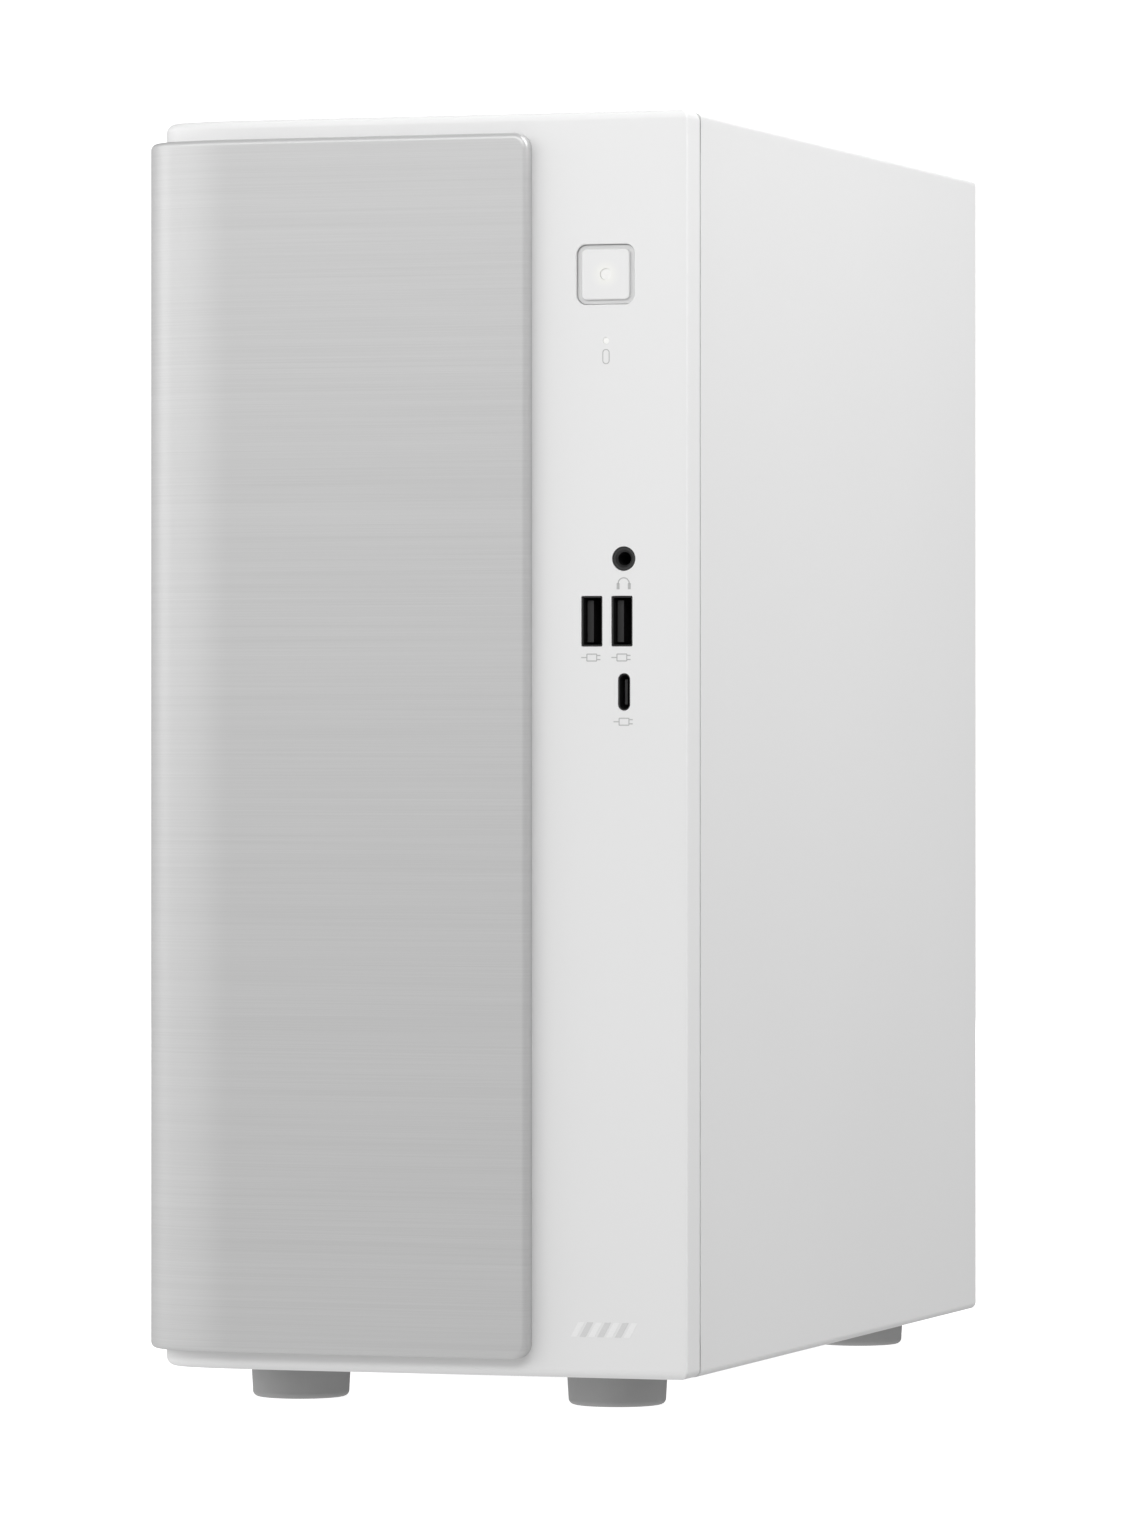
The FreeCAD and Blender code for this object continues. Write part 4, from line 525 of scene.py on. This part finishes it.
# ---------------------------------------------------------------- stage, light and camera
BOWL_FLOOR_RADIUS = 5.0
BOWL_FILLET = 1.6
BOWL_HEIGHT = 7.0
BOWL_SIDES = 96
BOWL_FILLET_STEPS = 14
BOWL_FLOOR_RINGS = (0.04, 0.2, 0.5, 1.0)
STAGE_GLOW_NEAR, STAGE_GLOW_FAR = 0.80, 1.05
STAGE_GLOW_START, STAGE_GLOW_END = 0.3, 1.5


def bowl_profile():
    """Radius and height along the stage: a flat floor that curves up into a round wall."""
    profile = [(BOWL_FLOOR_RADIUS * share, 0.0) for share in BOWL_FLOOR_RINGS]
    for step in range(1, BOWL_FILLET_STEPS + 1):
        angle = math.pi / 2 * step / BOWL_FILLET_STEPS
        profile.append((BOWL_FLOOR_RADIUS + BOWL_FILLET * math.sin(angle),
                        BOWL_FILLET * (1 - math.cos(angle))))
    profile.append((BOWL_FLOOR_RADIUS + BOWL_FILLET, BOWL_HEIGHT))
    return profile


def make_stage():
    """A round white bowl that only the camera sees: it glows to plain white and lights nothing."""
    mesh = bpy.data.meshes.new("studio_floor")
    points, faces = [(0.0, 0.0, 0.0)], []
    profile = bowl_profile()
    for radius, height in profile:
        for side in range(BOWL_SIDES):
            angle = 2 * math.pi * side / BOWL_SIDES
            points.append((radius * math.cos(angle), radius * math.sin(angle), height))
    for side in range(BOWL_SIDES):
        following = (side + 1) % BOWL_SIDES
        faces.append((0, 1 + side, 1 + following))
        for ring in range(len(profile) - 1):
            near, far = 1 + ring * BOWL_SIDES, 1 + (ring + 1) * BOWL_SIDES
            faces.append((near + side, far + side, far + following, near + following))
    mesh.from_pydata(points, [], faces)
    for polygon in mesh.polygons:
        polygon.use_smooth = True
    floor = bpy.data.objects.new("studio_floor", mesh)
    bpy.context.scene.collection.objects.link(floor)
    floor.visible_diffuse = False
    floor.visible_glossy = False
    floor.visible_transmission = False
    floor.visible_volume_scatter = False
    floor.visible_shadow = False
    made = Material("studio_white", grey(0.85), 0.9)
    dust = made.noise(3.0, 2.0)
    made.colour(made.blend(dust, grey(0.84), grey(0.86)))
    away = made.nodes.new("ShaderNodeVectorMath")
    away.operation = "LENGTH"
    made.links.new(made.place, away.inputs[0])
    glow = made.spread(away.outputs["Value"], STAGE_GLOW_NEAR, STAGE_GLOW_FAR,
                       STAGE_GLOW_START, STAGE_GLOW_END)
    made.shader.inputs["Emission Color"].default_value = grey(1.0)
    made.links.new(glow, made.shader.inputs["Emission Strength"])
    mesh.materials.append(made.data)


MIDDLE = (0.0, 0.0, 0.2)
# Each soft box: its place, what it points at, its size in metres and its power in watts.
LIGHTS = {
    "right_high": ((0.80, 0.0, 1.00), (0.07, 0.0, 0.28), (0.5, 0.9), 8.7),
    "right_middle": ((0.95, 0.0, 0.70), (0.07, 0.0, 0.20), (0.5, 1.0), 2.6),
    "front_middle": ((0.10, -0.9, 0.75), (0.0, 0.0, 0.20), (1.2, 0.5), 2.9),
    "front_high": ((0.30, -2.6, 2.00), MIDDLE, (2.2, 1.2), 18.6),
    "front_left": ((-1.80, -1.9, 1.20), MIDDLE, (1.2, 1.6), 12.0),
    "left": ((-1.90, -0.4, 0.80), MIDDLE, (1.2, 1.4), 8.1),
    "rear": ((-0.35, 2.7, 0.90), MIDDLE, (0.8, 1.4), 15.0),
}
# How strongly the room glows from each side: the axis, and the strength with the side's sign.
ROOM_GLOW = (("Z", -0.824), ("Y", -0.280), ("X", -0.655), ("X", 0.227))


def area_light(name, place, aim, size, power):
    data = bpy.data.lights.new(name, "AREA")
    data.shape = "RECTANGLE"
    data.size, data.size_y = size
    data.energy = power
    lamp = bpy.data.objects.new(name, data)
    lamp.location = place
    lamp.rotation_euler = (Vector(aim) - Vector(place)).to_track_quat("-Z", "Y").to_euler()
    lamp.visible_camera = False
    bpy.context.scene.collection.objects.link(lamp)


def make_world():
    """A pale room round the object: a sum of soft glows, each strongest from one side."""
    world = bpy.data.worlds.new("studio")
    world.use_nodes = True
    tree = world.node_tree
    nodes, links = tree.nodes, tree.links
    split = nodes.new("ShaderNodeSeparateXYZ")
    links.new(nodes.new("ShaderNodeTexCoord").outputs["Generated"], split.inputs["Vector"])
    total = 0.0
    for axis, strength in ROOM_GLOW:
        along = maths_node(tree, "MULTIPLY", split.outputs[axis], strength)
        total = maths_node(tree, "ADD", maths_node(tree, "MAXIMUM", along, 0.0), total)
    background = nodes["Background"]
    background.inputs["Color"].default_value = grey(1.0)
    links.new(total, background.inputs["Strength"])
    bpy.context.scene.world = world


def make_light():
    for name, (place, aim, size, power) in LIGHTS.items():
        area_light(name, place, aim, size, power)
    make_world()


CAMERA_FROM_FACE = Vector((0.71506, -2.07007, 0.17807))
CAMERA_YAW = math.radians(18.0)
LENS_MM = 194.85
SHIFT = (0.0013, -0.0138)


def make_camera():
    data = bpy.data.cameras.new("camera")
    data.sensor_width = 36.0
    data.lens = LENS_MM
    data.shift_x, data.shift_y = SHIFT
    data.dof.use_dof = False
    camera = bpy.data.objects.new("camera", data)
    camera.location = Vector((CASE_MIDDLE, FACE_Y, 0)) + CAMERA_FROM_FACE
    camera.rotation_euler = (math.pi / 2, 0, CAMERA_YAW)
    bpy.context.scene.collection.objects.link(camera)
    bpy.context.scene.camera = camera


def make_view():
    bpy.context.scene.view_settings.view_transform = "Standard"
    bpy.context.scene.view_settings.look = "None"


make_camera()
make_view()
make_stage()
make_light()
dress_all()
make_glyphs()
make_mark()
